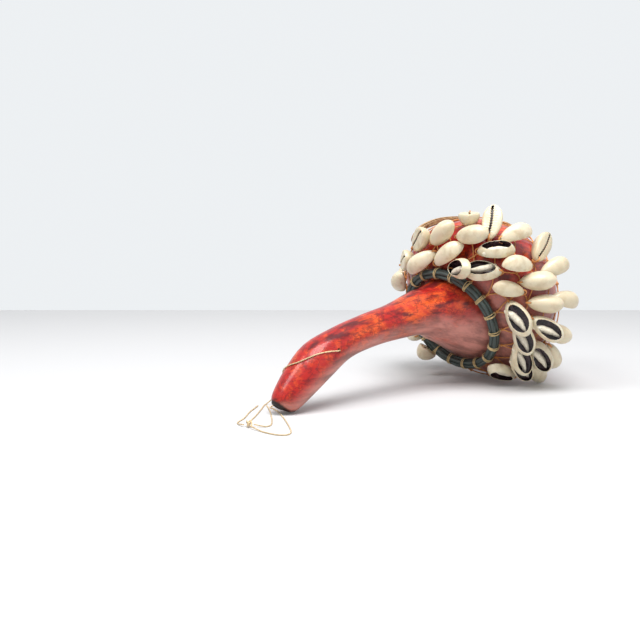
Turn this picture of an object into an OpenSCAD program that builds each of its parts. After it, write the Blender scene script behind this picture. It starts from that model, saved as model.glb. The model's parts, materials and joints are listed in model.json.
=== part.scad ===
/* [Gourd] */
// Widest diameter of the gourd's bulb
bulb_d = 96; // [90:0.5:102]
// Depth of the bulb from its widest circle towards the neck
front_depth = 24; // [22:0.5:27]
// Depth of the bulb from its widest circle to the blossom end
back_depth = 50; // [46:0.5:54]
// How far the bulb's axis tips up from the floor, in degrees
tilt = 25; // [23:0.5:27]
// Reach of the handle, from the bulb's centre to the tip
handle_reach = 150; // [140:1:165]
// Thickness of the gourd's wall
wall = 3.5; // [2.5:0.1:4.5]
// Diameter of the thread hole drilled through the handle
thread_hole_d = 2; // [1.8:0.1:3]

/* [Neck ring] */
// Diameter of the ring, between the middles of its bundle of strands
ring_d = 59; // [57:0.5:61]
// Diameter of one strand of the ring
strand_d = 2.2; // [1.8:0.1:2.3]
// Diameter of the thread that lashes the strands together
lashing_d = 0.7; // [0.5:0.1:0.8]

/* [Net] */
// Number of meshes round the bulb
columns = 18; // [18:1:19]
// Number of rows of knots below the first
rows = 8; // [7:1:8]
// Width of the net's cord
cord_w = 0.9; // [0.6:0.1:1]
// Width of a knot
knot_w = 2.4; // [2:0.1:2.6]
// Thickness of a knot
knot_t = 1.4; // [1:0.1:1.5]
// Height of the knots' middles over the gourd's skin
knot_h = 1.3; // [1.2:0.1:1.6]

/* [Cowries] */
// Length of a middling cowrie shell
shell_l = 20.5; // [18:0.5:21]
// Width of a middling cowrie shell
shell_w = 12.5; // [11:0.5:13]
// Height of a middling cowrie shell
shell_h = 8; // [7:0.5:8.5]
// Thickness of the shell
shell_wall = 1.1; // [0.8:0.1:1.3]
// Width of the slit in the shell's flat side
slit_w = 1.4; // [0.8:0.1:2]
// Diameter of the thread loop that ties a shell to the net
tie_d = 0.7; // [0.5:0.1:0.8]
// Diameter of the tie loop, between the middles of its thread
tie_loop_d = 3.8; // [3.6:0.1:4]

/* [Tail and hanging thread] */
// Diameter of the fibre tail at its root
tail_d = 6; // [4:0.5:7]
// Diameter of the hanging thread
thread_d = 0.9; // [0.6:0.1:1]

/* [Hidden] */
$fn = 48;
// Clearance between a loose piece and what it lies against
gap = 0.3;
// Clearance between strands that lie in one bundle
strand_gap = 0.1;
// Overrun of every cut
over = 1;
// Roundness of the bulb's outline on the neck side and on the blossom side
front_roundness = 1.75;
back_roundness = 1.8;
// Turns of the outline, in degrees from the neck's pole: at the neck's root, and each step
root_turn = 35;
turn_step = 5;
// The neck's root is narrower than its opening in the bulb, and starts inside the bulb
root_step = 0.3;
root_depth = 2.5;
root_lead = 0.6;

// The handle's outline from the root to the tip, each row a cross-section:
// reach and height of its top edge, then reach and height of its bottom edge
neck_shares = [
    [0.220, 1.275, 0.115, 0.400],
    [0.257, 1.237, 0.177, 0.490],
    [0.297, 1.210, 0.240, 0.572],
    [0.340, 1.190, 0.310, 0.660],
    [0.463, 1.065, 0.440, 0.643],
    [0.584, 0.983, 0.560, 0.596],
    [0.719, 0.874, 0.679, 0.500],
    [0.845, 0.722, 0.773, 0.322],
    [0.929, 0.478, 0.851, 0.150],
    [0.985, 0.248, 0.923, 0.007],
    [0.999, 0.150, 0.962, 0.050]
];
neck_sides = 40;
neck_steps = 3;
// The hollow of the neck ends at this cross-section
hollow_end = 9;
hollow_sides = 20;
hollow_steps = 2;
// The thread hole crosses the handle at this cross-section, this share of the radius above
// the section's middle
hole_section = 8.55;
hole_rise_share = 0.22;

// Every cowrie, tied by one end to a knot or to the middle of a cord: the column and row of
// the place in the net, how far the shell pulls it round and down as shares of a mesh, the
// shell's heading in degrees round from east, its lift off the net in degrees, its size as a
// share of the middling shell, and its kind
whole = 0;
slit_out = 1;
open_back = 2;
shell_shares = [
    [7.5, 1, 0.2, 0.15, 5, 28, 1, slit_out],
    [8.5, 1, 0.25, 0.1, 30, 21, 1, whole],
    [9.25, 3.5, 0.2, 0, 305, 25, 1, slit_out],
    [10.75, 2.5, -0.1, -0.1, 120, 20, 1, slit_out],
    [9.75, 1.5, 0, 0.1, 20, 20, 1, whole],
    [9, 0, 0.05, 0.1, 35, 2, 1, whole],
    [8.75, 0.5, 0.15, 0.05, 215, 20, 1, whole],
    [6.5, 1, 0.1, 0, 335, 22, 1, slit_out],
    [5.75, 0.5, -0.1, 0, 335, 20, 1, whole],
    [10.25, 0.5, -0.3, -0.45, 20, 40, 1, open_back],
    [10.75, 1.5, -0.1, -0.1, 35, 5, 1, open_back],
    [11.75, 1.5, -0.1, -0.2, 225, 5, 1, open_back],
    [11.25, 2.5, -0.3, 0.3, 70, 10, 1, whole],
    [11.75, 3.5, 0.3, 0, 110, 25, 1, slit_out],
    [12.25, 2.5, -0.15, 0.4, 240, 16, 1, whole],
    [12.75, 1.5, -0.15, 0.15, 230, 13, 0.85, whole],
    [12.5, 3, 0, 0.25, 80, 25, 1, whole],
    [12.25, 1.5, 0.05, 0.35, 60, 6, 1, whole],
    [13, 2, 0, -0.3, 60, 6, 1, whole],
    [13.5, 3, -0.2, 0.2, 55, 20, 1, whole],
    [12.5, 1, 0.2, -0.2, 5, 32, 1.05, open_back],
    [13.5, 1, 0, -0.15, 5, 31, 1, open_back],
    [13.75, 1.5, -0.2, 0.1, 40, 30, 1, open_back],
    [14, 2, 0, 0.3, 45, 10, 1, whole],
    [14.5, 1, -0.1, -0.3, 15, 37, 1, open_back],
    [14.25, 1.5, 0.2, 0.1, 20, 25, 1, open_back],
    [14.75, 2.5, 0, 0, 20, 12, 1, whole],
    [15.25, 0.5, -0.2, 0.1, 40, 20, 1, open_back],
    [15.25, 1.5, 0.3, 0.3, 40, 7, 1, whole],
    [16.25, 1.5, 0.1, -0.15, 255, 12, 1, open_back],
    [2.25, 0.5, 0, 0.2, 280, 20, 1, whole],
    [3.25, 0.5, 0, 0, 85, 5, 1, whole],
    [4.25, 0.5, 0, 0, 95, 5, 1, open_back],
    [2.25, 2.5, 0, 0.1, 80, 5, 1, open_back],
    [3.25, 2.5, 0, 0.1, 90, 5, 1, whole],
    [4.25, 2.5, 0, 0.1, 85, 5, 1, whole],
    [5.25, 2.5, 0, 0.1, 95, 5, 1, open_back],
    [1.25, 4.5, 0, 0, 90, 5, 1, whole],
    [2.75, 4.5, 0, 0, 90, 5, 1, whole],
    [4.25, 4.5, 0, 0, 85, 5, 1, open_back],
    [5.75, 4.5, 0, 0, 95, 5, 1, whole],
    [17.75, 5.5, 0, 0, 90, 5, 1, whole]
];
// The narrow end's share of a shell's length, and the steps of each end's outline
nose_share = 0.6;
egg_steps = 4;
// The height share kept by a shell whose back is cut open, and the roundness of the flat side
cut_share = 0.68;
belly_across_share = 1.2;
// The slit: where it starts and how long it is as shares of the length, its depth as a share of
// the height, and the radius it curves with as a share of the length
slit_start_share = 0.2;
slit_share = 0.72;
slit_depth_share = 0.38;
slit_curve_share = 1.5;
// The inner column seen in an open shell, as shares of length, width and height
column_long_share = 0.7;
column_wide_share = 0.3;
column_side_share = 0.17;
column_high_share = 0.34;
// Where the tie loop pierces the shell, from its narrow end
tie_in = 0.9;
// A tied place is drawn up off the gourd by this much
tie_rise = 0.9;
// A shell lies this much closer to the gourd than the net's slope, in degrees
hug = 11;

// The first and last rows of knots, in degrees of the outline, and the step between rows
first_turn = 44.5;
mesh_turn = 15.7;
last_turn = 165;

// The lashings: pairs of turns round the ring, spread by this share of the thread
lashing_turns = 2;
lashing_step_share = 1.35;

// The tail leaves the blossom end straight, then bends back over the net: column, row and
// height over the skin
tail_root_l = 10;
tail_route = [
    [7.5, 7.4, 13], [7.5, 6.6, 9], [7.5, 5.8, 6.2], [7.5, 5, 5.6], [7.5, 4.1, 5.2],
    [7.45, 3.3, 4.8], [7.4, 2.5, 4.3], [7.35, 1.9, 3.8]
];
tail_steps = 2;
tail_sides = 12;
tail_end_share = 0.3;
binding_turns = 3;

// The thread on the handle, from the tip's far side to the hole, through it and back over
// the handle's top to the tip: the cross-section, and degrees round from the top edge
// towards the player's side
far_route = [
    [10.35, 252],
    [10, 262],
    [9.6, 270],
    [9.2, 277],
    [8.85, 281]
];
near_route = [
    [8.85, 62],
    [9.15, 47],
    [9.45, 33],
    [9.7, 18],
    [9.85, 0],
    [9.95, 340],
    [10, 315],
    [10.05, 290],
    [10.1, 272]
];
// The bend of the thread into the hole
thread_bend = 1.6;
thread_sink = 0.7;
thread_sides = 8;

// The loop on the floor, from the handle's far side down and round to the knot, the loose
// end beside it, and the end that curls back from the knot: reach, side and, off the floor,
// height
left_route = [
    [-134.7, 10.2, 13.5], [-133.5, 17, 6], [-136.5, 22.5], [-147, 13.5], [-157, 4.5],
    [-166, -3], [-172.2, -8.9, 1.4]
];
outer_route = [
    [-135.6, 9.1, 8.4], [-138, 10.5, 3], [-140, 15], [-142, 8.5], [-145.5, 0.5], [-154, -14.5],
    [-163.5, -29.5], [-168, -35], [-172, -36.5], [-175, -33], [-176, -25], [-175.8, -15.2, 1.4]
];
inner_route = [
    [-139, 19], [-143.5, 11.5], [-153.5, -3], [-163.5, -15.5], [-168.5, -17.5],
    [-172.2, -13.4, 1.3]
];
curl_route = [
    [-176, -10.6, 1.2], [-174, -3], [-165, 3.5], [-155, 12.5], [-149, 17], [-142.5, 22]
];
knot_place = [-174, -12];
loop_knot_l = 6;
loop_knot_d = 3.4;
knot_turn = 60;
floor_gap = 0.05;

// The middle of the whole object lies this share of the handle's reach behind the bulb's,
// and this share of the bulb's width to its side
middle_share = 0.31;
side_share = 0.01;

count = len(shell_shares);

function shell_name(i) = str("cowrie_", i < 9 ? "0" : "", i + 1);
function unit(v) = v / norm(v);

// The bulb's outline at a turn, its slope, and a point some height over the skin
function roundness(turn) = turn <= 90 ? front_roundness : back_roundness;
function depth(turn) = turn <= 90 ? front_depth : back_depth;
function bulb_r(turn) = bulb_d / 2 * pow(sin(turn), 2 / roundness(turn));
function bulb_z(turn) =
    (turn <= 90 ? -1 : 1) * depth(turn) * pow(abs(cos(turn)), 2 / roundness(turn));
function outward(turn) = let (power = roundness(turn) - 1) unit([
    pow(bulb_r(turn) / bulb_d * 2, power) / bulb_d * 2,
    sign(bulb_z(turn)) * pow(abs(bulb_z(turn)) / depth(turn), power) / depth(turn)
]);
function over_skin(turn, height) = [bulb_r(turn), bulb_z(turn)] + height * outward(turn);

// Heights of the bulb's lowest skin and of its centre over the floor
skin_drop = max([for (turn = [root_turn:1:last_turn])
    bulb_r(turn) * cos(tilt) - bulb_z(turn) * sin(tilt)]);
centre_h = skin_drop + knot_h + knot_t / 2;
function upright(p) = [
    p[0] * sin(tilt) + p[2] * cos(tilt),
    p[1],
    p[2] * sin(tilt) - p[0] * cos(tilt) + centre_h
];

// Places in the net, by column and row, with east, south and outward directions
function row_turn(row) = let (low = floor(row), part = row - low)
    (1 - part) * min(first_turn + low * mesh_turn, last_turn)
    + part * min(first_turn + (low + 1) * mesh_turn, last_turn);
function net_axes(column, row) = let (
    around = column * 360 / columns,
    n = outward(row_turn(row)),
    out = [n[0] * cos(around), n[0] * sin(around), n[1]],
    east = [-sin(around), cos(around), 0]
) [east, cross(out, east), out];
function net_point(column, row, height) = let (
    around = column * 360 / columns,
    p = over_skin(row_turn(row), height)
) [p[0] * cos(around), p[0] * sin(around), p[1]];
function tied(column, row) =
    [for (s = shell_shares) if (s[0] == column && s[1] == row) s];
function pulled(column, row) = let (s = tied(column, row))
    len(s) > 0 ? [column + s[0][2], row + s[0][3], tie_rise] : [column, row, 0];

// The net as one closed surface: an eight-sided knot at each crossing, joined by cords
function knot_column(row, i) = i + (row % 2) / 2;
function knot_points(row, i) = let (
    at = pulled(knot_column(row, i), row),
    axes = net_axes(at[0], at[1]),
    middle = net_point(at[0], at[1], knot_h + at[2])
) [for (corner = [0:1:3]) let (
    a = 45 + 90 * corner,
    u = cos(a) * axes[0] + sin(a) * axes[1],
    v = cos(a) * axes[1] - sin(a) * axes[0]
) for (m = [[-1, -1], [1, -1], [1, 1], [-1, 1]])
    middle + u * knot_w / 2 + v * m[0] * cord_w / 2 + axes[2] * m[1] * knot_t / 2
];
// A cord's middle, between a knot and its neighbour in the next row (side 0 east, 1 west)
function cord_column(row, i, side) = knot_column(row, i) + (side == 0 ? 0.25 : -0.25);
function wrap_column(column) = column < 0 ? column + columns : column;
function cord_points(row, i, side) = let (
    at = pulled(wrap_column(cord_column(row, i, side)), row + 0.5),
    axes = net_axes(at[0], at[1]),
    rise = at[2] > 0 ? at[2] + (knot_t - cord_w) / 2 : 0,
    middle = net_point(at[0], at[1], knot_h + rise),
    from = net_point(knot_column(row, i), row, knot_h),
    to = net_point(knot_column(row, i) + (side == 0 ? 0.5 : -0.5), row + 1, knot_h),
    along = unit(to - from),
    across = unit(cross(axes[2], along))
) [for (m = [[-1, -1], [1, -1], [1, 1], [-1, 1]])
    middle + across * m[0] * cord_w / 2 + axes[2] * m[1] * cord_w / 2
];
knot_total = (rows + 1) * columns;
net_points = concat(
    [for (row = [0:1:rows]) for (i = [0:1:columns - 1]) each knot_points(row, i)],
    [for (row = [0:1:rows - 1]) for (i = [0:1:columns - 1]) for (side = [0, 1])
        each cord_points(row, i, side)]
);
function knot_at(row, i) = 16 * (row * columns + (i + columns) % columns);
function corner_at(row, i, corner) = [for (m = [0:1:3]) knot_at(row, i) + 4 * corner + m];
function cord_at(row, i, side) =
    [for (m = [0:1:3]) 16 * knot_total + 4 * (2 * (row * columns + i) + side) + m];
function band(a, b) = [for (m = [0:1:3]) let (n = (m + 1) % 4)
    each [[a[m], b[m], b[n]], [a[m], b[n], a[n]]]];
function flat_side(q) = [[q[0], q[3], q[2]], [q[0], q[2], q[1]]];
function reversed(q) = [q[1], q[0], q[3], q[2]];
function knot_faces(row, i) = let (
    base = knot_at(row, i),
    low = [0, 1, 4, 5, 8, 9, 12, 13],
    high = [3, 2, 7, 6, 11, 10, 15, 14]
) concat(
    [for (m = [1:1:6]) [base + low[0], base + low[m], base + low[m + 1]]],
    [for (m = [1:1:6]) [base + high[0], base + high[m + 1], base + high[m]]],
    [for (m = [0:1:3]) let (n = (m + 1) % 4, p = base + 4 * m, q = base + 4 * n)
        each [[p + 1, p + 2, q + 3], [p + 1, q + 3, q]]],
    row == 0 ? concat(flat_side(corner_at(row, i, 2)), flat_side(corner_at(row, i, 3))) : [],
    row == rows ? concat(flat_side(corner_at(row, i, 0)), flat_side(corner_at(row, i, 1))) : []
);
net_faces = concat(
    [for (row = [0:1:rows]) for (i = [0:1:columns - 1]) each knot_faces(row, i)],
    [for (row = [0:1:rows - 1]) for (i = [0:1:columns - 1]) for (side = [0, 1]) let (
        next = i + (row % 2) - side,
        middle = cord_at(row, i, side)
    ) each concat(
        band(corner_at(row, i, side), middle),
        band(middle, reversed(corner_at(row + 1, next, side == 0 ? 2 : 3)))
    )]
);

// A smooth course through points, and a tube or a tapered tube swept along it
function smooth(p, steps) = let (last = len(p) - 1) concat(
    [for (i = [0:1:last - 1]) for (k = [0:1:steps - 1]) let (
        t = k / steps,
        a = p[max(i - 1, 0)], b = p[i], c = p[i + 1], d = p[min(i + 2, last)]
    ) b + t * (c - a) / 2 + t * t * (a - 2.5 * b + 2 * c - d / 2)
        + t * t * t * (1.5 * (b - c) + (d - a) / 2)],
    [p[last]]
);
function tangent(p, i) = unit(p[min(i + 1, len(p) - 1)] - p[max(i - 1, 0)]);
function tube_points(p, radii, sides, side_axis) = [for (i = [0:1:len(p) - 1]) let (
    along = tangent(p, i),
    u = unit(cross(side_axis, along)),
    v = cross(along, u)
) for (k = [0:1:sides - 1])
    p[i] + radii[i] * (cos(360 * k / sides) * u + sin(360 * k / sides) * v)];
function tube_faces(rings, sides) = concat(
    [for (k = [1:1:sides - 2]) [0, k, k + 1]],
    [for (i = [0:1:rings - 2]) for (k = [0:1:sides - 1]) let (
        a = i * sides + k, b = i * sides + (k + 1) % sides
    ) each [[a, a + sides, b + sides], [a, b + sides, b]]],
    [for (k = [1:1:sides - 2]) let (base = (rings - 1) * sides) [base, base + k + 1, base + k]]
);
module tube(p, radii, sides, side_axis) {
    on_floor()
        polyhedron(tube_points(p, radii, sides, side_axis), tube_faces(len(p), sides));
}
module thread(p, side_axis) {
    tube(p, [for (q = p) thread_d / 2], thread_sides, side_axis);
}

// The neck's cross-sections, each a top and a bottom point in the middle plane
function root_section(deeper) = let (
    r = bulb_r(root_turn) - root_step,
    z = bulb_z(root_turn) + deeper
) [upright([-r, 0, z]), upright([r, 0, z])];
neck_sections = concat(
    [root_section(root_depth), root_section(-root_lead)],
    [for (s = neck_shares) [
        [-s[0] * handle_reach, 0, s[1] * centre_h],
        [-s[2] * handle_reach, 0, s[3] * centre_h]
    ]]
);
function neck_rings(steps) = let (
    tops = smooth([for (s = neck_sections) s[0]], steps),
    bottoms = smooth([for (s = neck_sections) s[1]], steps)
) [for (i = [0:1:len(tops) - 1]) [tops[i], bottoms[i]]];
function ring_points(section, inset, sides) = let (
    middle = (section[0] + section[1]) / 2,
    up = unit(section[0] - section[1]),
    r = norm(section[0] - section[1]) / 2 - inset
) [for (k = [0:1:sides - 1])
    middle + r * (cos(360 * k / sides) * up + [0, sin(360 * k / sides), 0])];
fine_sections = neck_rings(10);
function section_at(place) = let (
    low = floor(place * 10),
    part = place * 10 - low,
    a = fine_sections[low],
    b = fine_sections[low + 1]
) [a[0] + part * (b[0] - a[0]), a[1] + part * (b[1] - a[1])];
// A point over the handle's skin, by cross-section and degrees round from the top edge
function on_handle(place, around, height) = let (
    s = section_at(place),
    middle = (s[0] + s[1]) / 2,
    r = norm(s[0] - s[1]) / 2 + height
) middle + r * (cos(around) * unit(s[0] - s[1]) - [0, sin(around), 0]);

module neck(inset, steps, sides, last) {
    all = neck_rings(steps);
    rings = [for (i = [0:1:last * steps]) all[i]];
    points = [for (s = rings) each ring_points(s, inset, sides)];
    on_floor()
        polyhedron(points, tube_faces(len(rings), sides));
}

module on_floor() {
    translate([middle_share * handle_reach, side_share * bulb_d, 0])
        children();
}

module on_bulb() {
    on_floor()
        translate([0, 0, centre_h])
            rotate([0, 90 - tilt, 0])
                children();
}

module bulb(height) {
    outline = [for (turn = [root_turn:turn_step:180]) over_skin(turn, height)];
    on_bulb()
        rotate_extrude()
            polygon(concat([[0, outline[0][1]]], outline));
}

// The thread hole's middle in the handle, and the handle's skin beside it
hole_section_points = section_at(hole_section);
hole_r = norm(hole_section_points[0] - hole_section_points[1]) / 2;
hole_middle = (hole_section_points[0] + hole_section_points[1]) / 2
    + hole_r * hole_rise_share * unit(hole_section_points[0] - hole_section_points[1]);
hole_side = hole_r * sqrt(1 - hole_rise_share * hole_rise_share);

module gourd() {
    color("OrangeRed")
        difference() {
            union() {
                bulb(0);
                neck(0, neck_steps, neck_sides, len(neck_sections) - 1);
            }
            bulb(-wall);
            neck(wall, hollow_steps, hollow_sides, hollow_end);
            on_floor()
                translate([hole_middle[0], 0, hole_middle[2]])
                    rotate([90, 0, 0])
                        cylinder(h = 2 * (hole_r + over), d = thread_hole_d, center = true);
        }
}

// The ring lies on the bulb's shoulder, clear of the skin by its lashing
strand_step = strand_d + strand_gap;
lashing_r = strand_step / sqrt(2) + strand_d / 2 + 2 * strand_gap + lashing_d / 2;
ring_lift = lashing_r + lashing_d / 2 + gap;
ring_turn = min([for (turn = [root_turn:0.1:90])
    if (over_skin(turn, ring_lift)[0] >= ring_d / 2) turn]);
ring_at = over_skin(ring_turn, ring_lift);

module hoop(r, z, d) {
    translate([0, 0, z])
        rotate_extrude()
            translate([r, 0])
                circle(d = d);
}

module neck_ring() {
    color("DarkSlateGray")
        on_bulb()
            for (i = [-1, 1], k = [-1, 1])
                hoop(ring_at[0] + i * strand_step / 2, ring_at[1] + k * strand_step / 2, strand_d);
}

module ring_lashings() {
    color("Wheat")
        on_bulb()
            for (i = [0:1:columns - 1], k = [0:1:lashing_turns - 1])
                rotate(360 * i / columns)
                    translate([ring_at[0], 0, ring_at[1]])
                        rotate([90, 0, 0])
                            hoop(lashing_r,
                                 (k - (lashing_turns - 1) / 2) * lashing_d * lashing_step_share,
                                 lashing_d);
}

module net() {
    color("Peru")
        on_bulb()
            polyhedron(net_points, net_faces);
}

// A shell's own axes: from its tied end along, across, and away from the gourd
tie_h = knot_h + tie_rise + knot_t / 2 + gap + tie_d / 2 + tie_loop_d / 2;
function shell_axes(s) = let (
    axes = net_axes(s[0] + s[2], s[1] + s[3]),
    ahead = cos(s[4]) * axes[0] + sin(s[4]) * axes[1],
    pitch = s[5] - hug,
    along = cos(pitch) * ahead + sin(pitch) * axes[2],
    away = cos(pitch) * axes[2] - sin(pitch) * ahead
) [along, cross(away, along), away];

module at_tie(s) {
    axes = shell_axes(s);
    p = net_point(s[0] + s[2], s[1] + s[3], tie_h);
    on_bulb()
        multmatrix([
            [axes[0][0], axes[1][0], axes[2][0], p[0]],
            [axes[0][1], axes[1][1], axes[2][1], p[1]],
            [axes[0][2], axes[1][2], axes[2][2], p[2]]
        ])
            children();
}

module tie_loops() {
    color("Beige")
        for (s = shell_shares)
            at_tie(s)
                rotate([90, 0, 0])
                    hoop(tie_loop_d / 2, 0, tie_d);
}

// A shell's outline: two arcs that meet at its widest place, drawn in by the wall
function arc_r(reach, half) = (reach * reach + half * half) / 2 / half;
function half_outline(reach, half, inset) = let (
    r = arc_r(reach, half),
    end = sqrt(pow(r - inset, 2) - pow(r - half, 2))
) [for (k = [0:1:egg_steps]) let (x = end * (1 - k / egg_steps))
    [sqrt(pow(r - inset, 2) - x * x) - (r - half), x]];

module egg(l, w, inset) {
    narrow = half_outline(l * nose_share, w / 2, inset);
    wide = half_outline(l * (1 - nose_share), w / 2, inset);
    rotate([0, 90, 0])
        rotate_extrude()
            polygon(concat(
                [for (p = narrow) [p[0], l * nose_share - p[1]]],
                [for (i = [egg_steps - 1:-1:0]) [wide[i][0], l * nose_share + wide[i][1]]]
            ));
}

module shell_body(l, w, h, inset) {
    across_r = w * belly_across_share;
    intersection() {
        translate([0, 0, h - w / 2])
            egg(l, w, inset);
        translate([-over, 0, across_r])
            rotate([0, 90, 0])
                cylinder(h = l + 2 * over, r = across_r - inset);
    }
}

module shell_slit(l, h) {
    curve_r = l * slit_curve_share;
    intersection() {
        translate([l / 2, -curve_r, -over])
            difference() {
                cylinder(h = h * slit_depth_share + over, r = curve_r + slit_w / 2);
                cylinder(h = 3 * h, r = curve_r - slit_w / 2, center = true);
            }
        translate([l * slit_start_share, -l / 2, -h])
            cube([l * slit_share, l, 2 * h]);
    }
}

module cowrie(s) {
    l = shell_l * s[6];
    w = shell_w * s[6];
    h = shell_h * s[6];
    flip = s[7] == slit_out ? 180 : 0;
    color("Ivory")
        at_tie(s)
            rotate([flip, 0, 0])
                difference() {
                    translate([-tie_in, 0, w / 2 - h]) {
                        difference() {
                            shell_body(l, w, h, 0);
                            shell_body(l, w, h, shell_wall);
                            if (s[7] == open_back)
                                translate([-l / 2, -w, h * cut_share])
                                    cube([2 * l, 2 * w, h]);
                            shell_slit(l, h);
                        }
                        if (s[7] == open_back)
                            shell_column(l, w, h);
                    }
                    rotate([90, 0, 0])
                        hoop(tie_loop_d / 2, 0, tie_d + 2 * gap + strand_gap);
                }
}

module shell_column(l, w, h) {
    long = l * column_long_share;
    translate([l * nose_share - long / 2, -w * column_side_share, h * column_high_share])
        egg(long, w * column_wide_share, 0);
}

// The tail hangs back over the bulb from its blossom end
tail_course = smooth(concat(
    [for (k = [0, 1, 2]) upright([0, 0, back_depth + gap + k * tail_root_l / 2])],
    [for (s = tail_route) upright(net_point(s[0], s[1], s[2]))]
), tail_steps);

module tail() {
    color("SaddleBrown")
        tube(tail_course, [for (i = [0:1:len(tail_course) - 1])
            tail_d / 2 * (1 - (1 - tail_end_share) * i / (len(tail_course) - 1))],
            tail_sides, [0, 1, 0]);
}

module tail_binding() {
    gather_r = over_skin(last_turn, knot_h)[0] - knot_w / 2 - gap - cord_w / 2;
    color("Tan")
        on_bulb() {
            hoop(gather_r, back_depth + cord_w / 2 + gap, cord_w);
            for (i = [0:1:binding_turns - 1])
                hoop(tail_d / 2 + cord_w / 2 + strand_gap,
                     back_depth + gap + (i + 2) * (cord_w + strand_gap), cord_w);
        }
}

// The thread bends into the hole from the tip's side, on the far side and on the near side
function hole_bend(side, turns) = [for (a = turns) [
    hole_middle[0] - thread_bend * (1 - cos(a)),
    side * (hole_side - thread_sink + thread_bend * sin(a)),
    hole_middle[2]
]];
handle_course = concat(
    [for (r = far_route) on_handle(r[0], r[1], thread_d / 2 + gap)],
    hole_bend(1, [90, 60, 30, 0]),
    hole_bend(-1, [0, 30, 60, 90]),
    [for (r = near_route) on_handle(r[0], r[1], thread_d / 2 + gap)]
);

module handle_cord() {
    color("Cornsilk")
        thread(handle_course, [0.5, 0.6, 0.6]);
}

thread_h = thread_d / 2 + floor_gap;

module floor_thread(route) {
    course = smooth([for (r = route) [r[0], r[1], len(r) > 2 ? r[2] : thread_h]], 2);
    thread([for (p = course) [p[0], p[1], max(p[2], thread_h)]], [0, 0, 1]);
}

module hanging_loop() {
    color("Cornsilk") {
        floor_thread(left_route);
        floor_thread(outer_route);
    }
}

module loop_end() {
    color("Cornsilk") {
        floor_thread(inner_route);
        floor_thread(curl_route);
    }
}

module loop_knot() {
    color("Cornsilk")
        on_floor()
            translate([knot_place[0], knot_place[1], loop_knot_d / 2 + floor_gap])
                rotate([0, 0, knot_turn])
                    translate([-loop_knot_l / 2, 0, 0])
                        egg(loop_knot_l, loop_knot_d, 0);
}

gourd();
neck_ring();
ring_lashings();
net();
tie_loops();
tail();
tail_binding();
handle_cord();
hanging_loop();
loop_end();
loop_knot();
for (i = [0:1:count - 1])
    cowrie(shell_shares[i]);
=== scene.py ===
"""A gourd rattle in a knotted net of cowrie shells, lying on a pale floor."""

import json
import math
import random
from typing import NamedTuple

import bmesh
import bpy
from mathutils import Matrix, Vector
from mathutils.kdtree import KDTree


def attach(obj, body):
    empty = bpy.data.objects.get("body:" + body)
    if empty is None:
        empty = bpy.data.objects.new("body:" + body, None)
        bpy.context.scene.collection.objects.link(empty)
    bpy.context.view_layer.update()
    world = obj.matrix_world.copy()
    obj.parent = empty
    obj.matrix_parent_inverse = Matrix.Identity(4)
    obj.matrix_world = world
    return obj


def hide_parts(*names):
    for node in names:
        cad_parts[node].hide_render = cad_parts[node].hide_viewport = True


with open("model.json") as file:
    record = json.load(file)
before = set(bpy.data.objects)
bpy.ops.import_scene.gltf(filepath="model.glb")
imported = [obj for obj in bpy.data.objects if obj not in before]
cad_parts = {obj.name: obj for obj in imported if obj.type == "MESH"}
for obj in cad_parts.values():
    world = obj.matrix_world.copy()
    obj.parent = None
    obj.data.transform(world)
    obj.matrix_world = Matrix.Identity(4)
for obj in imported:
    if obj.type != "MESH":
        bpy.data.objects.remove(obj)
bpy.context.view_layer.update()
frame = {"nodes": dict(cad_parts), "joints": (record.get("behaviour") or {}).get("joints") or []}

bl_info = {
    "name": "Cowrie gourd rattle",
    "version": (1, 0, 0),
    "blender": (4, 5, 0),
    "location": "View3D > Sidebar > Rattle",
    "description": "Dresses a gourd rattle with lacquer, net, lashings, shells and threads",
    "category": "Object",
}

MM = 0.001

# The bulb stands where the net's twist joint is, with its axis tipped up from the floor
JOINTS = {joint["name"]: joint for joint in frame["joints"]}
BULB = Vector(JOINTS["net_twist"]["pos_m"])
ALONG = Vector(JOINTS["net_twist"]["axis"]).normalized()
SIDE = Vector((0, 1, 0))
LOW = SIDE.cross(ALONG)

# The gourd's outline, and the handle's cross-sections: reach and height of the top edge, then
# of the bottom edge, as shares of the handle's reach and of the bulb's height over the floor
BULB_R = 48 * MM
FRONT_DEPTH = 24 * MM
BACK_DEPTH = 50 * MM
FRONT_ROUNDNESS = 1.75
BACK_ROUNDNESS = 1.8
ROOT_TURN = 35
BACK_TURN = 180
TURN_STEP = 2
TRIED_STEP = 0.25
TRIED_TURNS = 560
ROOT_STEP = 0.3 * MM
ROOT_DEPTH = 2.5 * MM
ROOT_LEAD = 0.6 * MM
HANDLE_REACH = 150 * MM
NECK_SHARES = [
    (0.220, 1.275, 0.115, 0.400),
    (0.257, 1.237, 0.177, 0.490),
    (0.297, 1.210, 0.240, 0.572),
    (0.340, 1.190, 0.310, 0.660),
    (0.463, 1.065, 0.440, 0.643),
    (0.584, 0.983, 0.560, 0.596),
    (0.719, 0.874, 0.679, 0.500),
    (0.845, 0.722, 0.773, 0.322),
    (0.929, 0.478, 0.851, 0.150),
    (0.985, 0.248, 0.923, 0.007),
    (0.999, 0.150, 0.962, 0.050),
]
# The dried stem stub that closes the tip: each ring's share of the tip's radius, and its rise
STUB_SHARES = [(0.96, 0.35), (0.86, 0.7), (0.62, 0.95), (0.5, 0.6), (0.25, 0.45), (0, 0.5)]
HOLE_SECTION = 8.55
HOLE_RISE_SHARE = 0.22
HOLE_R = 1.05 * MM
GOURD_SIDES = 128
NECK_STEPS = 4
FINE_STEPS = 10

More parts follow.
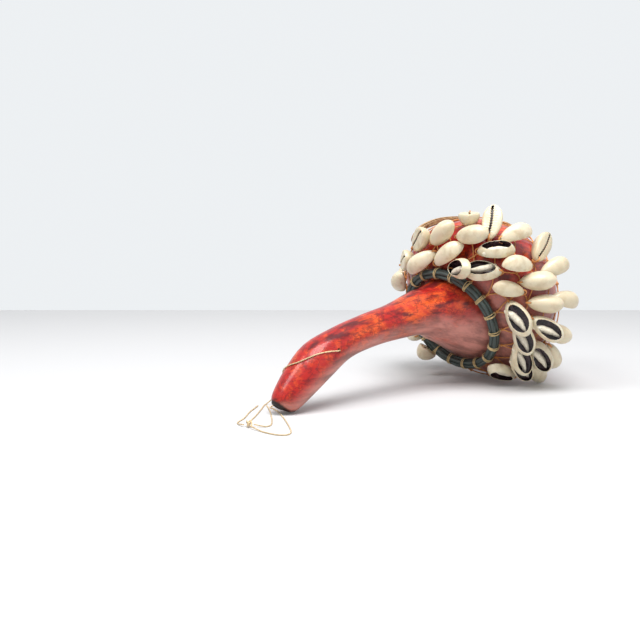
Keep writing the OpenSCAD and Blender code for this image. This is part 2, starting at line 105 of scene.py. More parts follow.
# The net: meshes round the bulb, rows of knots, and the outline's turns at the rows
COLUMNS = 18
ROWS = 8
FIRST_TURN = 44.5
MESH_TURN = 15.7
LAST_TURN = 165
KNOT_H = 1.3 * MM
KNOT_W = 2.4 * MM
KNOT_T = 1.4 * MM
CORD_W = 0.9 * MM
TIE_RISE = 0.9 * MM
TIE_H = 5.45 * MM
TIE_LOOP_R = 1.9 * MM
GAP = 0.3 * MM

# The net's thread and knots: how far places stray, and each knot's two crossed turns
NET_THREAD_R = 0.38 * CORD_W
KNOT_STRAY = 0.35 * MM
CORD_STRAY = 0.55 * MM
TURN_R = 0.6 * MM
TIED_TURN_R = 0.8 * MM
TURN_RISE = 0.52 * MM
TURN_THREAD_R = 0.36 * MM
DRAWN_FROM = 0.03 * MM

# The ring of strands round the neck, and the lashings, each of three turns and a knot
RING_R = 29.5 * MM
RING_LIFT = 3.93 * MM
RING_TRIED_STEP = 0.1
RING_STEPS = 12 * COLUMNS
STRANDS = 4
STRAND_R = 1.1 * MM
STRAND_STEP = 2.3 * MM
STRAND_WANDER = 0.12 * MM
LASHING_R = 3.28 * MM
LASHING_SINK = 0.25 * MM
LASHING_THREAD_R = 0.26 * MM
LASHING_KNOT_R = 0.75 * MM
LASHING_KNOT_RISE = 0.6 * MM
LASHING_KNOT_THREAD_R = 0.3 * MM

# A cowrie, from its tied narrow end, and how far some of them roll onto their side, in degrees
SHELL_L = 20.5 * MM
SHELL_W = 12.5 * MM
SHELL_H = 8 * MM
SLENDER = 0.9
ROLLS = {
    "01": -10, "02": -10, "04": 10, "05": 10, "06": 40, "07": -30, "10": 10, "11": 45,
    "12": -35, "13": 30, "14": -20, "15": -45, "16": -50, "17": 50, "19": 15, "20": 50,
    "21": 10, "22": 10, "23": 15, "24": 30, "25": 30, "26": -10, "27": 25, "28": 15,
}
WHOLE_SLENDER = 0.9
TIE_IN = 0.9 * MM
NOSE_SHARE = 0.6
CUT_SHARE = 0.68
OPEN_SHARE = 0.4
GIRTH_ROUNDNESS = 0.58
FLAT_ROUNDNESS = 0.45
PIERCE_R = 0.62 * MM
SHELL_RINGS = 132
SHELL_SIDES = 48

# The slit's bow and lips, and where along the shell the slit and its teeth lie: their start,
# the stretch over which they rise, their end and the stretch over which they fall
SLIT_CURVE_R = 1.5 * SHELL_L
SLIT_DEPTH = 2.3 * MM
SLIT_SPAN = (0.05, 0.09, 0.985, 0.06)
TEETH_SPAN = (0.08, 0.08, 0.95, 0.06)
TEETH_START = 0.1
TEETH_SPREAD = 0.86
TOOTH_RISE = 0.2 * MM
LIP_DEPTH = 0.32 * MM
LIP_W = 0.16 * MM
LIP_DIP = 0.04 * MM
GUM_W = 0.5 * MM

# The inner column of an open shell: its length, width, middle, and how it bows and leans
COLUMN_L = 0.74 * SHELL_L
COLUMN_W = 0.36 * SHELL_W
COLUMN_MIDDLE = 0.53 * SHELL_L
COLUMN_ASIDE = 0.07 * SHELL_W
COLUMN_BOW = 1.3 * MM
COLUMN_LEAN = 2.2 * MM
COLUMN_RISE = 0.6 * MM

# A shell's tie: its thread, the leans of its two turns, its knot, and the cord it stands on
TIE_THREAD_R = 0.27 * MM
TIE_LEAN = 0.13
TIE_KNOT_R = 0.6 * MM
TIE_KNOT_THREAD_R = 0.33 * MM
TIE_KNOT_GAP = 0.1 * MM
TIE_FOOT_R = 0.36 * MM

# The tail and the threads, by net column and row with height over the skin, or by
# cross-section and degrees round the handle, or by reach, side and height from the bulb
TAIL_ROOT = 10 * MM
TAIL_R = 3 * MM
TAIL_THINNING = 1.5 * MM
FIBRE_R = 0.42 * MM
FIBRE_THINNING = 0.22 * MM
BINDING_R = 3.55 * MM
BINDING_PITCH = 0.95 * MM
BINDING_THREAD_R = 0.46 * CORD_W
GATHER_THREAD_R = 0.42 * CORD_W
GOLDEN_ANGLE = 2.399963
TAIL_ROUTE = [
    (7.5, 7.4, 13), (7.5, 6.6, 9), (7.5, 5.8, 6.2), (7.5, 5, 5.6), (7.5, 4.1, 5.2),
    (7.45, 3.3, 4.8), (7.4, 2.5, 4.3), (7.35, 1.9, 3.8),
]
FAR_ROUTE = [(10.35, 252), (10, 262), (9.6, 270), (9.2, 277), (8.85, 281)]
NEAR_ROUTE = [
    (8.85, 62), (9.15, 47), (9.45, 33), (9.7, 18), (9.85, 0), (9.95, 340), (10, 315),
    (10.05, 290), (10.1, 272),
]
LEFT_ROUTE = [
    (-134.7, 10.2, 13.5), (-133.5, 17, 6), (-136.5, 22.5), (-147, 13.5), (-157, 4.5),
    (-166, -3), (-172.2, -8.9, 1.4),
]
OUTER_ROUTE = [
    (-135.6, 9.1, 8.4), (-138, 10.5, 3), (-140, 15), (-142, 8.5), (-145.5, 0.5),
    (-154, -14.5), (-163.5, -29.5), (-168, -35), (-172, -36.5), (-175, -33), (-176, -25),
    (-175.8, -15.2, 1.4),
]
INNER_ROUTE = [
    (-139, 19), (-143.5, 11.5), (-153.5, -3), (-163.5, -15.5), (-168.5, -17.5),
    (-172.2, -13.4, 1.3),
]
CURL_ROUTE = [
    (-176, -10.6, 1.2), (-174, -3), (-165, 3.5), (-155, 12.5), (-149, 17), (-142.5, 22),
]
HANGING_KNOT_PLACE = (-174, -12, 1.7)
HANGING_KNOT_TURN = 60
HANGING_KNOT_SIZES = (0.95 * MM, 0.42 * MM, 1 * MM)
HANGING_KNOT_STEPS = 72
THREAD_R = 0.32 * MM
HANGING_KNOT_THREAD_R = 1.15 * THREAD_R
HANDLE_GAP = GAP / 3
FLOOR_GAP = 0.05 * MM
THREAD_BEND = 1.6 * MM
THREAD_SINK = 0.7 * MM

# The camera stands left of the bulb and looks down a little
CAMERA_FROM_BULB = Vector((-449.75, -375.58, 106)) * MM
CAMERA_HEADING = Vector((0.6603, 0.7510, 0))
CAMERA_PITCH = 7
CAMERA_LENS = 56.25
CAMERA_SENSOR = 36
CAMERA_NEAR = 10 * MM

# The floor round the camera's foot: to its far edge, behind the camera and to each side
FLOOR_EDGE = 940 * MM
FLOOR_BEHIND = 3
FLOOR_ASIDE = 4
FLOOR_GLOW = 0.04

# The lamps, from the object's middle: aside, away from the camera and up, and their size; and
# the light of the sky
LIT_MIDDLE = Vector((BULB.x - 40 * MM, BULB.y, 40 * MM))
MAIN_LAMP = (-0.55, -0.30, 0.75, 0.35)
FILL_LAMP = (0.8, -0.5, 0.45, 0.7)
TOP_LAMP = (0.04, -0.26, 0.80, 0.5)
SKY_LIGHT = (0.95, 0.97, 1, 1)
SKY_STRENGTH = 0.42


def colour_property(name, description, default):
    return bpy.props.FloatVectorProperty(name=name, description=description, default=default,
                                         subtype="COLOR", size=3, min=0, max=1)


class GourdLook(bpy.types.PropertyGroup):
    """Colours and finish of the lacquered gourd."""

    red: colour_property("Red", "Main red of the lacquer", (0.43, 0.014, 0.010))
    orange: colour_property(
        "Orange", "Thin places where the lacquer turns orange", (0.80, 0.110, 0.016))
    crimson: colour_property("Crimson", "Streaks where the dye is thick", (0.075, 0.004, 0.008))
    # Painted reflection of the pale floor: mauve-brown on the faces turned down and on the lower
    # bulb
    floor_reflection: colour_property(
        "Underside", "Dull brown-red below and on the bulb", (0.66, 0.29, 0.235))
    bulb_red: colour_property(
        "Bulb red", "Thick dye that shows through on the bulb", (0.17, 0.012, 0.010))
    stem: colour_property("Stem", "Dried stem at the tip", (0.020, 0.012, 0.010))
    roughness: bpy.props.FloatProperty(
        name="Roughness", description="Roughness of the lacquer", subtype="FACTOR",
        min=0, max=1, default=0.36)


class NetLook(bpy.types.PropertyGroup):
    """Threads of the net, the ring, the tail and the hanging loop."""

    net_colour: colour_property(
        "Net thread", "Colour of the net and its knots", (0.72, 0.30, 0.085))
    lashing_colour: colour_property(
        "Lashing", "Colour of the lashings on the ring", (0.58, 0.43, 0.20))
    hanging_colour: colour_property(
        "Hanging thread", "Colour of the loose thread", (0.66, 0.49, 0.27))
    ring_colour: colour_property("Ring", "Colour of the ring's strands", (0.040, 0.056, 0.050))
    dust: colour_property("Dust", "Dusty places on the ring", (0.16, 0.17, 0.14))
    tail_colour: colour_property("Tail", "Colour of the fibre tail", (0.46, 0.27, 0.14))
    straw: colour_property("Straw", "Pale places on the fibre tail", (0.62, 0.42, 0.20))
    ply_pitch: bpy.props.FloatProperty(
        name="Ply pitch", description="Length of one turn of the thread's twist",
        unit="LENGTH", min=0.0005, max=0.01, default=0.0022)
    tail_strands: bpy.props.IntProperty(
        name="Tail strands", description="Number of fibres in the tail", min=10, max=90,
        default=46)


class ShellLook(bpy.types.PropertyGroup):
    """Shape details and colours of the cowries."""

    ivory: colour_property("Ivory", "Glazed outside of a shell", (0.76, 0.67, 0.49))
    tan: colour_property("Tan", "Worn patches on the outside", (0.50, 0.37, 0.21))
    # Also the slit's floor, where this dark colour is painted shade of the hollow behind the slit
    inside: colour_property("Inside", "Dark inside of an open shell", (0.035, 0.017, 0.020))
    column: colour_property(
        "Inner column", "Pale inner whorl of an open shell", (0.84, 0.76, 0.60))
    teeth: bpy.props.IntProperty(
        name="Teeth", description="Teeth along each side of the slit", min=4, max=20,
        default=12)
    slit_width: bpy.props.FloatProperty(
        name="Slit width", description="Widest opening between the teeth", unit="LENGTH",
        min=0.0004, max=0.003, default=0.0019)
    wall: bpy.props.FloatProperty(
        name="Wall", description="Thickness of a shell's wall", unit="LENGTH",
        min=0.0005, max=0.002, default=0.0013)


class StageLook(bpy.types.PropertyGroup):
    """Light, floor and backdrop."""

    key_power: bpy.props.FloatProperty(
        name="Main lamp", description="Power of the lamp at the left", unit="POWER",
        min=0, max=100, default=3.2)
    fill_power: bpy.props.FloatProperty(
        name="Fill lamp", description="Power of the lamp at the right", unit="POWER",
        min=0, max=100, default=1.0)
    top_power: bpy.props.FloatProperty(
        name="Top lamp", description="Power of the lamp overhead", unit="POWER",
        min=0, max=100, default=8.5)
    floor: colour_property("Floor", "Colour of the floor", (0.62, 0.62, 0.625))
    backdrop: colour_property("Backdrop", "Colour behind the floor's edge", (0.85, 0.875, 0.895))


# Geometry


def on_bulb(x, y, z):
    return BULB + LOW * x + SIDE * y + ALONG * z


def skin(turn, height=0.0):
    """Distance from the bulb's axis and place along it, some height over the skin."""
    front = turn <= 90
    roundness = FRONT_ROUNDNESS if front else BACK_ROUNDNESS
    depth = FRONT_DEPTH if front else BACK_DEPTH
    r = BULB_R * math.sin(math.radians(turn)) ** (2 / roundness)
    z = abs(math.cos(math.radians(turn))) ** (2 / roundness) * depth
    slope = Vector(((r / BULB_R) ** (roundness - 1) / BULB_R,
                    (z / depth) ** (roundness - 1) / depth)).normalized()
    if front:
        z, slope.y = -z, -slope.y
    return Vector((r, z)) + height * slope, slope


def row_turn(row):
    low = math.floor(row)
    turns = [min(FIRST_TURN + k * MESH_TURN, LAST_TURN) for k in (low, low + 1)]
    return turns[0] + (row - low) * (turns[1] - turns[0])


def round_axis(p, angle):
    """A point of the outline, or a direction, turned round the bulb's axis."""
    return LOW * (p.x * math.cos(angle)) + SIDE * (p.x * math.sin(angle)) + ALONG * p.y


def net_angle(column):
    return math.radians(column * 360 / COLUMNS)


def net_point(column, row, height):
    return BULB + round_axis(skin(row_turn(row), height)[0], net_angle(column))


def net_outward(column, row):
    return round_axis(skin(row_turn(row))[1], net_angle(column))


def smooth(points, steps):
    """A smooth course through points."""
    last = len(points) - 1
    course = []
    for i in range(last):
        a, b = points[max(i - 1, 0)], points[i]
        c, d = points[i + 1], points[min(i + 2, last)]
        for k in range(steps):
            t = k / steps
            course.append(b + t * (c - a) / 2 + t * t * (a - 2.5 * b + 2 * c - d / 2)
                          + t ** 3 * (1.5 * (b - c) + (d - a) / 2))
    return course + [points[last]]


def length_of(course):
    return sum((b - a).length for a, b in zip(course, course[1:]))


def root_section(deeper):
    p = skin(ROOT_TURN)[0]
    r, z = p.x - ROOT_STEP, p.y + deeper
    return on_bulb(-r, 0, z), on_bulb(r, 0, z)


def neck_sections(steps):
    """The neck's cross-sections, each a top and a bottom point."""
    sections = [root_section(ROOT_DEPTH), root_section(-ROOT_LEAD)]
    for s in NECK_SHARES:
        sections.append((
            Vector((BULB.x - s[0] * HANDLE_REACH, BULB.y, s[1] * BULB.z)),
            Vector((BULB.x - s[2] * HANDLE_REACH, BULB.y, s[3] * BULB.z)),
        ))
    return list(zip(smooth([s[0] for s in sections], steps),
                    smooth([s[1] for s in sections], steps)))


def tip_direction(sections):
    """The way out of the handle at its last cross-section."""
    top, bottom = sections[-1]
    out = (top - bottom).cross(SIDE).normalized()
    return -out if out.x > 0 else out


FINE_SECTIONS = neck_sections(FINE_STEPS)
TIP_OUT = tip_direction(FINE_SECTIONS)


def section_at(place):
    """Middle, upward direction and radius of the handle at a cross-section."""
    low = math.floor(place * FINE_STEPS)
    part = place * FINE_STEPS - low
    top = FINE_SECTIONS[low][0].lerp(FINE_SECTIONS[low + 1][0], part)
    bottom = FINE_SECTIONS[low][1].lerp(FINE_SECTIONS[low + 1][1], part)
    return (top + bottom) / 2, (top - bottom).normalized(), (top - bottom).length / 2


def on_handle(place, around, height):
    middle, up, r = section_at(place)
    a = math.radians(around)
    return middle + (r + height) * (up * math.cos(a) - SIDE * math.sin(a))


def from_bulb(p):
    """A point given in millimetres from the floor under the bulb."""
    z = p[2] * MM if len(p) > 2 else 0
    return Vector((BULB.x + p[0] * MM, BULB.y + p[1] * MM, max(z, THREAD_R + FLOOR_GAP)))


# Mesh tools


def deselect():
    if bpy.context.object and bpy.context.object.mode != "OBJECT":
        bpy.ops.object.mode_set(mode="OBJECT")
    bpy.ops.object.select_all(action="DESELECT")


def choose(obj):
    deselect()
    obj.select_set(True)
    bpy.context.view_layer.objects.active = obj


def in_edit_mode(obj, work):
    choose(obj)
    bpy.ops.object.mode_set(mode="EDIT")
    bpy.ops.mesh.select_all(action="SELECT")
    work()
    bpy.ops.object.mode_set(mode="OBJECT")


def apply_modifier(obj, kind, **settings):
    choose(obj)
    modifier = obj.modifiers.new(kind.title(), kind)
    for key, value in settings.items():
        setattr(modifier, key, value)
    bpy.ops.object.modifier_apply(modifier=modifier.name)


def close_up(obj):
    """Seams and poles are merged, and faces point outwards."""
    def work():
        bpy.ops.mesh.remove_doubles(threshold=1e-6)
        bpy.ops.mesh.normals_make_consistent(inside=False)
    in_edit_mode(obj, work)


def soften(obj, degrees=40):
    choose(obj)
    bpy.ops.object.shade_smooth_by_angle(angle=math.radians(degrees))


def new_object(name, data):
    obj = bpy.data.objects.new(name, data)
    bpy.context.scene.collection.objects.link(obj)
    return obj


def primitive(kind, **settings):
    deselect()
    getattr(bpy.ops.mesh, f"primitive_{kind}_add")(**settings)
    return bpy.context.object


def wrapped(name, rings, sides, place):
    """A grid shaped into rings: place gives the point of each ring and side."""
    obj = primitive("grid", x_subdivisions=rings - 1, y_subdivisions=sides, size=1)
    obj.name = obj.data.name = name
    for v in obj.data.vertices:
        ring = round((v.co.x + 0.5) * (rings - 1))
        side = round((v.co.y + 0.5) * sides)
        v.co = place(ring, side % sides)
    close_up(obj)
    return obj


def finish_piece(obj, body, materials, replaced=()):
    if list(obj.data.materials) != list(materials):
        obj.data.materials.clear()
        for material in materials:
            obj.data.materials.append(material)
    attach(obj, body)
    if replaced:
        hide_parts(*replaced)
    return obj


def sweep(bm, course, radius, sides, closed):
    """A thread along a course. Its texture map runs in metres along and in turns round."""
    uv = bm.loops.layers.uv.verify()
    count = len(course)
    around = None
    rings, lengths, travelled = [], [], 0.0
    for i, p in enumerate(course):
        before = course[i - 1] if i or closed else p
        after = course[(i + 1) % count] if i < count - 1 or closed else p
        along = (after - before).normalized()
        if around is None:
            around = along.orthogonal().normalized()
        around = (around - along * around.dot(along)).normalized()
        across = along.cross(around)
        r = radius[i] if isinstance(radius, list) else radius
        turns = [2 * math.pi * k / sides for k in range(sides)]
        rings.append([bm.verts.new(p + r * (around * math.cos(a) + across * math.sin(a)))
                      for a in turns])
        lengths.append(travelled)
        travelled += (after - p).length
    pairs = [(i, i + 1) for i in range(count - 1)] + ([(count - 1, 0)] if closed else [])
    for i, j in pairs:
        ends = (lengths[i], lengths[j] if j else travelled)
        for k in range(sides):
            n = (k + 1) % sides
            face = bm.faces.new((rings[i][k], rings[i][n], rings[j][n], rings[j][k]))
            face.smooth = True
            corners = ((ends[0], k), (ends[0], k + 1), (ends[1], k + 1), (ends[1], k))
            for loop, (u, v) in zip(face.loops, corners):
                loop[uv].uv = (u, v / sides)
    if not closed:
        bm.faces.new(list(reversed(rings[0])))
        bm.faces.new(rings[-1])


def swept_piece(name, threads, sides=8):
    """One piece of several threads: each a course, a radius and whether it closes."""
    obj = new_object(name, bpy.data.meshes.new(name))
    bm = bmesh.new()
    for course, radius, closed in threads:
        sweep(bm, course, radius, sides, closed)
    bm.normal_update()
    bm.to_mesh(obj.data)
    bm.free()
    return obj


def hoop(centre, u, v, ru, rv, steps):
    return [centre + u * ru * math.cos(2 * math.pi * k / steps)
            + v * rv * math.sin(2 * math.pi * k / steps) for k in range(steps)]


# Material tools


def fill(tree, sockets, values):
    """Sets sockets to values, or links them to other nodes' outputs."""
    for key, value in values.items():
        if isinstance(value, bpy.types.NodeSocket):
            tree.links.new(value, sockets[key])
        else:
            sockets[key].default_value = value


def add(tree, kind, inputs=None, **settings):
    node = tree.nodes.new("ShaderNode" + kind)
    for key, value in settings.items():
        setattr(node, key, value)
    fill(tree, node.inputs, inputs or {})
    return node


def sums(tree, operation, a, b=0.0):
    return add(tree, "Math", {0: a, 1: b}, operation=operation).outputs[0]


def times(tree, a, b):
    return sums(tree, "MULTIPLY", a, b)


def plus(tree, a, b):
    return sums(tree, "ADD", a, b)


def blended(tree, share, a, b):
    """Colour a turning to colour b as the share goes from 0 to 1."""
    rgba = [c if isinstance(c, bpy.types.NodeSocket) else (*c, 1) for c in (a, b)]
    return add(tree, "Mix", {0: share, 6: rgba[0], 7: rgba[1]}, data_type="RGBA").outputs[2]


def scaled(colour, share, lift=0.0):
    return tuple(min(1.0, c * share + lift) for c in colour)


def ramped(tree, value, low, high, start=0.0, end=1.0):
    """A soft step from start to end, as the value goes from low to high."""
    node = add(tree, "MapRange", {0: value, 1: low, 2: high, 3: start, 4: end},
               interpolation_type="SMOOTHSTEP")
    return node.outputs[0]


def new_group(name, inputs, outputs):
    """A node group's tree, its inputs as given and its outputs to fill."""
    tree = bpy.data.node_groups.new(name, "ShaderNodeTree")

    def socket(label, kind, way):
        return tree.interface.new_socket(name=label, in_out=way,
                                         socket_type="NodeSocket" + kind)

    for label, kind, value in inputs:
        socket(label, kind, "INPUT").default_value = value
    for label, kind in outputs:
        socket(label, kind, "OUTPUT")
    return tree, tree.nodes.new("NodeGroupInput").outputs, tree.nodes.new("NodeGroupOutput").inputs


def placed_group(tree, name, **inputs):
    node = tree.nodes.new("ShaderNodeGroup")
    node.node_tree = bpy.data.node_groups[name]
    fill(tree, node.inputs, inputs)
    return node.outputs


def patches(tree, scale, low, high):
    return placed_group(tree, "Patches", Scale=scale, Low=low, High=high)["Mask"]


def new_material(name):
    """A material, its node tree and its surface shader's inputs."""
    material = bpy.data.materials.new(name)
    material.use_nodes = True
    tree = material.node_tree
    return material, tree, tree.nodes["Principled BSDF"].inputs


def spots(tree, scale, stretch=(1, 1, 1), detail=4.0, roughness=0.55, shift=0.0):
    """Noise in the object's own space: scale is in spots to the metre."""
    place = add(tree, "TexCoord").outputs["Object"]
    if stretch != (1, 1, 1) or shift:
        place = add(tree, "Mapping", {"Vector": place, "Scale": stretch,
                                      "Location": (shift, shift, shift)}).outputs[0]
    return add(tree, "TexNoise", {"Vector": place, "Scale": scale, "Detail": detail,
                                  "Roughness": roughness}).outputs["Fac"]


def bumped(tree, height, distance, strength):
    return add(tree, "Bump", {"Height": height, "Distance": distance,
                              "Strength": strength}).outputs[0]


def ply_group():
    """Two plies of twisted thread, by the texture map that runs along it."""
    tree, given, result = new_group(
        "Twisted ply",
        [("Pitch", "Float", 2 * MM), ("Depth", "Float", 0.1 * MM)],
        [("Normal", "Vector"), ("Crown", "Float")],
    )
    flat = add(tree, "UVMap").outputs[0]
    along, around, _ = add(tree, "SeparateXYZ", {0: flat}).outputs
    turns = plus(tree, sums(tree, "DIVIDE", along, given["Pitch"]), times(tree, around, 2.0))
    crown = sums(tree, "ABSOLUTE", sums(tree, "SINE", times(tree, turns, math.pi)))
    fuzz = spots(tree, 5200.0, detail=2.0)
    height = plus(tree, crown, times(tree, fuzz, 0.5))
    tree.links.new(bumped(tree, height, given["Depth"], 0.8), result["Normal"])
    tree.links.new(crown, result["Crown"])


def patch_group():
    """Soft-edged patches in the object's own space."""
    tree, given, result = new_group(
        "Patches",
        [("Scale", "Float", 40.0), ("Low", "Float", 0.45), ("High", "Float", 0.6)],
        [("Mask", "Float")],
    )
    place = add(tree, "TexCoord").outputs["Object"]
    noise = add(tree, "TexNoise", {"Vector": place, "Scale": given["Scale"], "Detail": 5.0,
                                   "Roughness": 0.6, "Distortion": 0.4}).outputs["Fac"]
    tree.links.new(ramped(tree, noise, given["Low"], given["High"]), result["Mask"])


def ridge_group():
    """Fine ridges along a strand of plant fibre, by its texture map."""
    tree, given, result = new_group(
        "Fibre ridges",
        [("Stretch", "Vector", (100, 8, 1)), ("Detail", "Float", 4.0), ("Strength", "Float", 0.4)],
        [("Normal", "Vector"), ("Ridges", "Float")],
    )
    flat = add(tree, "UVMap").outputs[0]
    place = add(tree, "Mapping", {"Vector": flat, "Scale": given["Stretch"]})
    ridges = add(tree, "TexNoise", {"Vector": place.outputs[0], "Scale": 1.0,
                                    "Detail": given["Detail"]}).outputs["Fac"]
    tree.links.new(bumped(tree, ridges, 0.15 * MM, given["Strength"]), result["Normal"])
    tree.links.new(ridges, result["Ridges"])


def thread_material(name, look, colour):
    """Twisted thread: painted shade in the grooves of the ply, with a few worn pale places."""
    material, tree, surface = new_material(name)
    ply = placed_group(tree, "Twisted ply", Pitch=look.ply_pitch, Depth=0.12 * MM)
    worn = patches(tree, 110, 0.5, 0.66)
    base = blended(tree, worn, colour, scaled(colour, 1.3, 0.03))
    # Painted shade: the thread darkens in the grooves between the plies
    groove_shade = blended(tree, 0.5, scaled(colour, 0.45), base)
    fill(tree, surface, {
        "Base Color": blended(tree, ply["Crown"], groove_shade, base),
        "Normal": ply["Normal"],
        "Roughness": 0.72,
        "Sheen Weight": 0.15,
    })
    return material


def gourd_dye(tree, look, streak, fine, patch):
    """Red dye that turns orange where it is thin and crimson where it is thick."""
    red, orange, crimson = look.red, look.orange, look.crimson
    small = patches(tree, 190, 0.5, 0.68)
    fleck = patches(tree, 620, 0.62, 0.72)
    base = blended(tree, times(tree, patch, 0.85), red, orange)
    base = blended(tree, times(tree, small, 0.4), base, orange)
    base = blended(tree, ramped(tree, streak, 0.50, 0.66, 0.0, 0.9), base, crimson)
    base = blended(tree, ramped(tree, fine, 0.5, 0.68, 0.0, 0.5), base, crimson)
    crackle = spots(tree, 1.0, stretch=(75, 130, 130), detail=6.0, roughness=0.65, shift=7.0)
    vein = sums(tree, "ABSOLUTE", sums(tree, "SUBTRACT", crackle, 0.5))
    base = blended(tree, ramped(tree, vein, 0.0, 0.03, 0.6, 0.0), base, crimson)
    yellow = (min(1.0, orange[0] * 1.1), orange[1] * 2.6, orange[2] * 3.0)
    bright = times(tree, times(tree, fleck, patch), 0.7)
    return blended(tree, bright, base, yellow)


def stem_mask(tree, place, streak):
    """The dried stem: what lies past the handle's tip, with a ragged edge."""
    top, bottom = FINE_SECTIONS[-1]
    tip = TIP_OUT.dot((top + bottom) / 2)
    beyond = add(tree, "VectorMath", {0: place, 1: TIP_OUT},
                 operation="DOT_PRODUCT").outputs["Value"]
    ragged = plus(tree, beyond, times(tree, streak, 2.4 * MM))
    return ramped(tree, ragged, tip + 0.3 * MM, tip + 1.5 * MM)


def gourd_material(look):
    """Dyed and lacquered gourd, with a painted floor reflection below and on the bulb, and a dried
    stem.
    """
    material, tree, surface = new_material("Lacquered gourd")
    coords = add(tree, "TexCoord").outputs
    reach, _, height = add(tree, "SeparateXYZ", {0: coords["Object"]}).outputs
    upward = add(tree, "SeparateXYZ", {0: coords["Normal"]}).outputs[2]
    streak = spots(tree, 1.0, stretch=(26, 150, 150), detail=7.0, roughness=0.62)
    fine = spots(tree, 1.0, stretch=(90, 620, 620), detail=5.0, roughness=0.6, shift=3.0)
    patch = patches(tree, 46, 0.47, 0.64)
    base = gourd_dye(tree, look, streak, fine, patch)

    # Painted floor reflection: mauve-brown, darker along the streaks, mixed with darker red on the
    # lower bulb
    floor_reflection = look.floor_reflection
    floor_reflection_tone = blended(tree, ramped(tree, streak, 0.35, 0.65), floor_reflection, scaled(floor_reflection, 0.5))
    lower_bulb_reflection_share = times(
        tree, ramped(tree, height, 82 * MM, 40 * MM),
        ramped(tree, reach, BULB.x - 40 * MM, BULB.x - 5 * MM, 0.0, 0.8))
    base = blended(tree, lower_bulb_reflection_share, base, blended(tree, 0.55, floor_reflection_tone, look.bulb_red))
    mottled = sums(tree, "SUBTRACT", 1.0, times(tree, patch, 0.4))
    # Painted floor reflection on the faces turned downwards, broken up by the patches
    below = times(tree, ramped(tree, upward, 0.2, -0.5, 0.0, 0.85), mottled)
    base = blended(tree, below, base, floor_reflection_tone)
    stem = stem_mask(tree, coords["Object"], streak)

    rough = plus(tree, times(tree, fine, 0.16), look.roughness - 0.08)
    dents = plus(tree, spots(tree, 130.0, detail=3.0), times(tree, fine, 0.12))
    fill(tree, surface, {
        "Base Color": blended(tree, stem, base, look.stem),
        "Roughness": plus(tree, rough, times(tree, stem, 0.35)),
        "Normal": bumped(tree, dents, 0.9 * MM, 0.45),
        "Specular IOR Level": 0.22,
        "Coat Weight": 0.32,
        "Coat Roughness": 0.13,
    })
    return material


def ring_material(look):
    """Dark plant fibre, ridged along each strand with painted highlights on the ridges, a little
    dusty.
    """
    material, tree, surface = new_material("Dark fibre")
    fibre = placed_group(tree, "Fibre ridges", Stretch=(120, 9, 1), Detail=4.0, Strength=0.4)
    colour = look.ring_colour
    # Painted highlight: the strands turn lighter on their raised ridges
    base = blended(tree, ramped(tree, fibre["Ridges"], 0.45, 0.72), colour,
                   scaled(colour, 1.7, 0.01))
    dusty = times(tree, patches(tree, 150, 0.55, 0.75), 0.25)
    fill(tree, surface, {
        "Base Color": blended(tree, dusty, base, look.dust),
        "Normal": fibre["Normal"],
        "Roughness": 0.5,
    })
    return material


def tail_material(look):
    """Raffia: strands of brown and straw, with painted shade in the grooves, shiny along their
    length.
    """
    material, tree, surface = new_material("Raffia")
    fibre = placed_group(tree, "Fibre ridges", Stretch=(60, 6, 1), Detail=3.0, Strength=0.5)
    colour = look.tail_colour
    base = blended(tree, patches(tree, 420, 0.4, 0.62), colour, look.straw)
    # Painted shade: the strands darken along the grooves of the fibre-ridge texture
    groove_shade = ramped(tree, fibre["Ridges"], 0.4, 0.7, 0.0, 0.6)
    fill(tree, surface, {
        "Base Color": blended(tree, groove_shade, base, scaled(colour, 0.5)),
        "Normal": fibre["Normal"],
        "Roughness": 0.42,
    })
    return material


def ivory_material(look):
    """The glazed outside of a cowrie, worn tan in places; each shell has its own tone."""
    material, tree, surface = new_material("Cowrie ivory")
    tone = add(tree, "Attribute", attribute_name="tone").outputs["Fac"]
    patch = patches(tree, 130, 0.46, 0.7)
    speck = patches(tree, 1500, 0.6, 0.75)
    pale, tan = look.ivory, look.tan
    darker = (pale[0] * 0.86, pale[1] * 0.82, pale[2] * 0.74)
    base = blended(tree, times(tree, patch, 0.7), pale, tan)
    base = blended(tree, times(tree, tone, 0.5), base, darker)
    fill(tree, surface, {
        "Base Color": blended(tree, times(tree, speck, 0.35), base, scaled(tan, 0.6)),
        "Roughness": plus(tree, times(tree, patch, 0.2), 0.3),
        "Normal": bumped(tree, spots(tree, 900.0, detail=3.0), 0.12 * MM, 0.35),
        "Coat Weight": 0.25,
        "Coat Roughness": 0.2,
        "Subsurface Weight": 0.08,
        "Subsurface Scale": 1.5 * MM,
    })
    return material


def inside_and_slit_shade_material(look):
    """The dark inside of an open cowrie, and of a slit, where it is painted shade of the hollow.
    """
    material, tree, surface = new_material("Cowrie inside")
    dark = look.inside
    base = blended(tree, patches(tree, 260, 0.42, 0.7), dark, scaled(dark, 3.2, 0.01))
    fill(tree, surface, {"Base Color": base, "Roughness": 0.22})
    return material


def column_material(look):
    """The pale inner column of an open cowrie."""
    material, tree, surface = new_material("Cowrie column")
    light = look.column
    streak = ramped(tree, spots(tree, 700.0, detail=3.0), 0.4, 0.65)
    base = blended(tree, streak, light, scaled(light, 0.82))
    fill(tree, surface, {"Base Color": base, "Roughness": 0.38})
    return material


# Pieces


class RATTLE_OT_camera(bpy.types.Operator):
    """Adds the camera, at the viewing angle of the display"""

    bl_idname = "rattle.camera"
    bl_label = "Camera"

    def execute(self, context):
        camera = new_object("Camera", bpy.data.cameras.new("Camera"))
        camera.data.lens = CAMERA_LENS
        camera.data.sensor_width = CAMERA_SENSOR
        camera.data.clip_start = CAMERA_NEAR
        camera.location = Vector((BULB.x, BULB.y, 0)) + CAMERA_FROM_BULB
        pitch = math.radians(CAMERA_PITCH)
        look = CAMERA_HEADING.normalized() * math.cos(pitch) - Vector((0, 0, math.sin(pitch)))
        camera.rotation_euler = look.to_track_quat("-Z", "Y").to_euler()
        context.scene.camera = camera
        return {"FINISHED"}


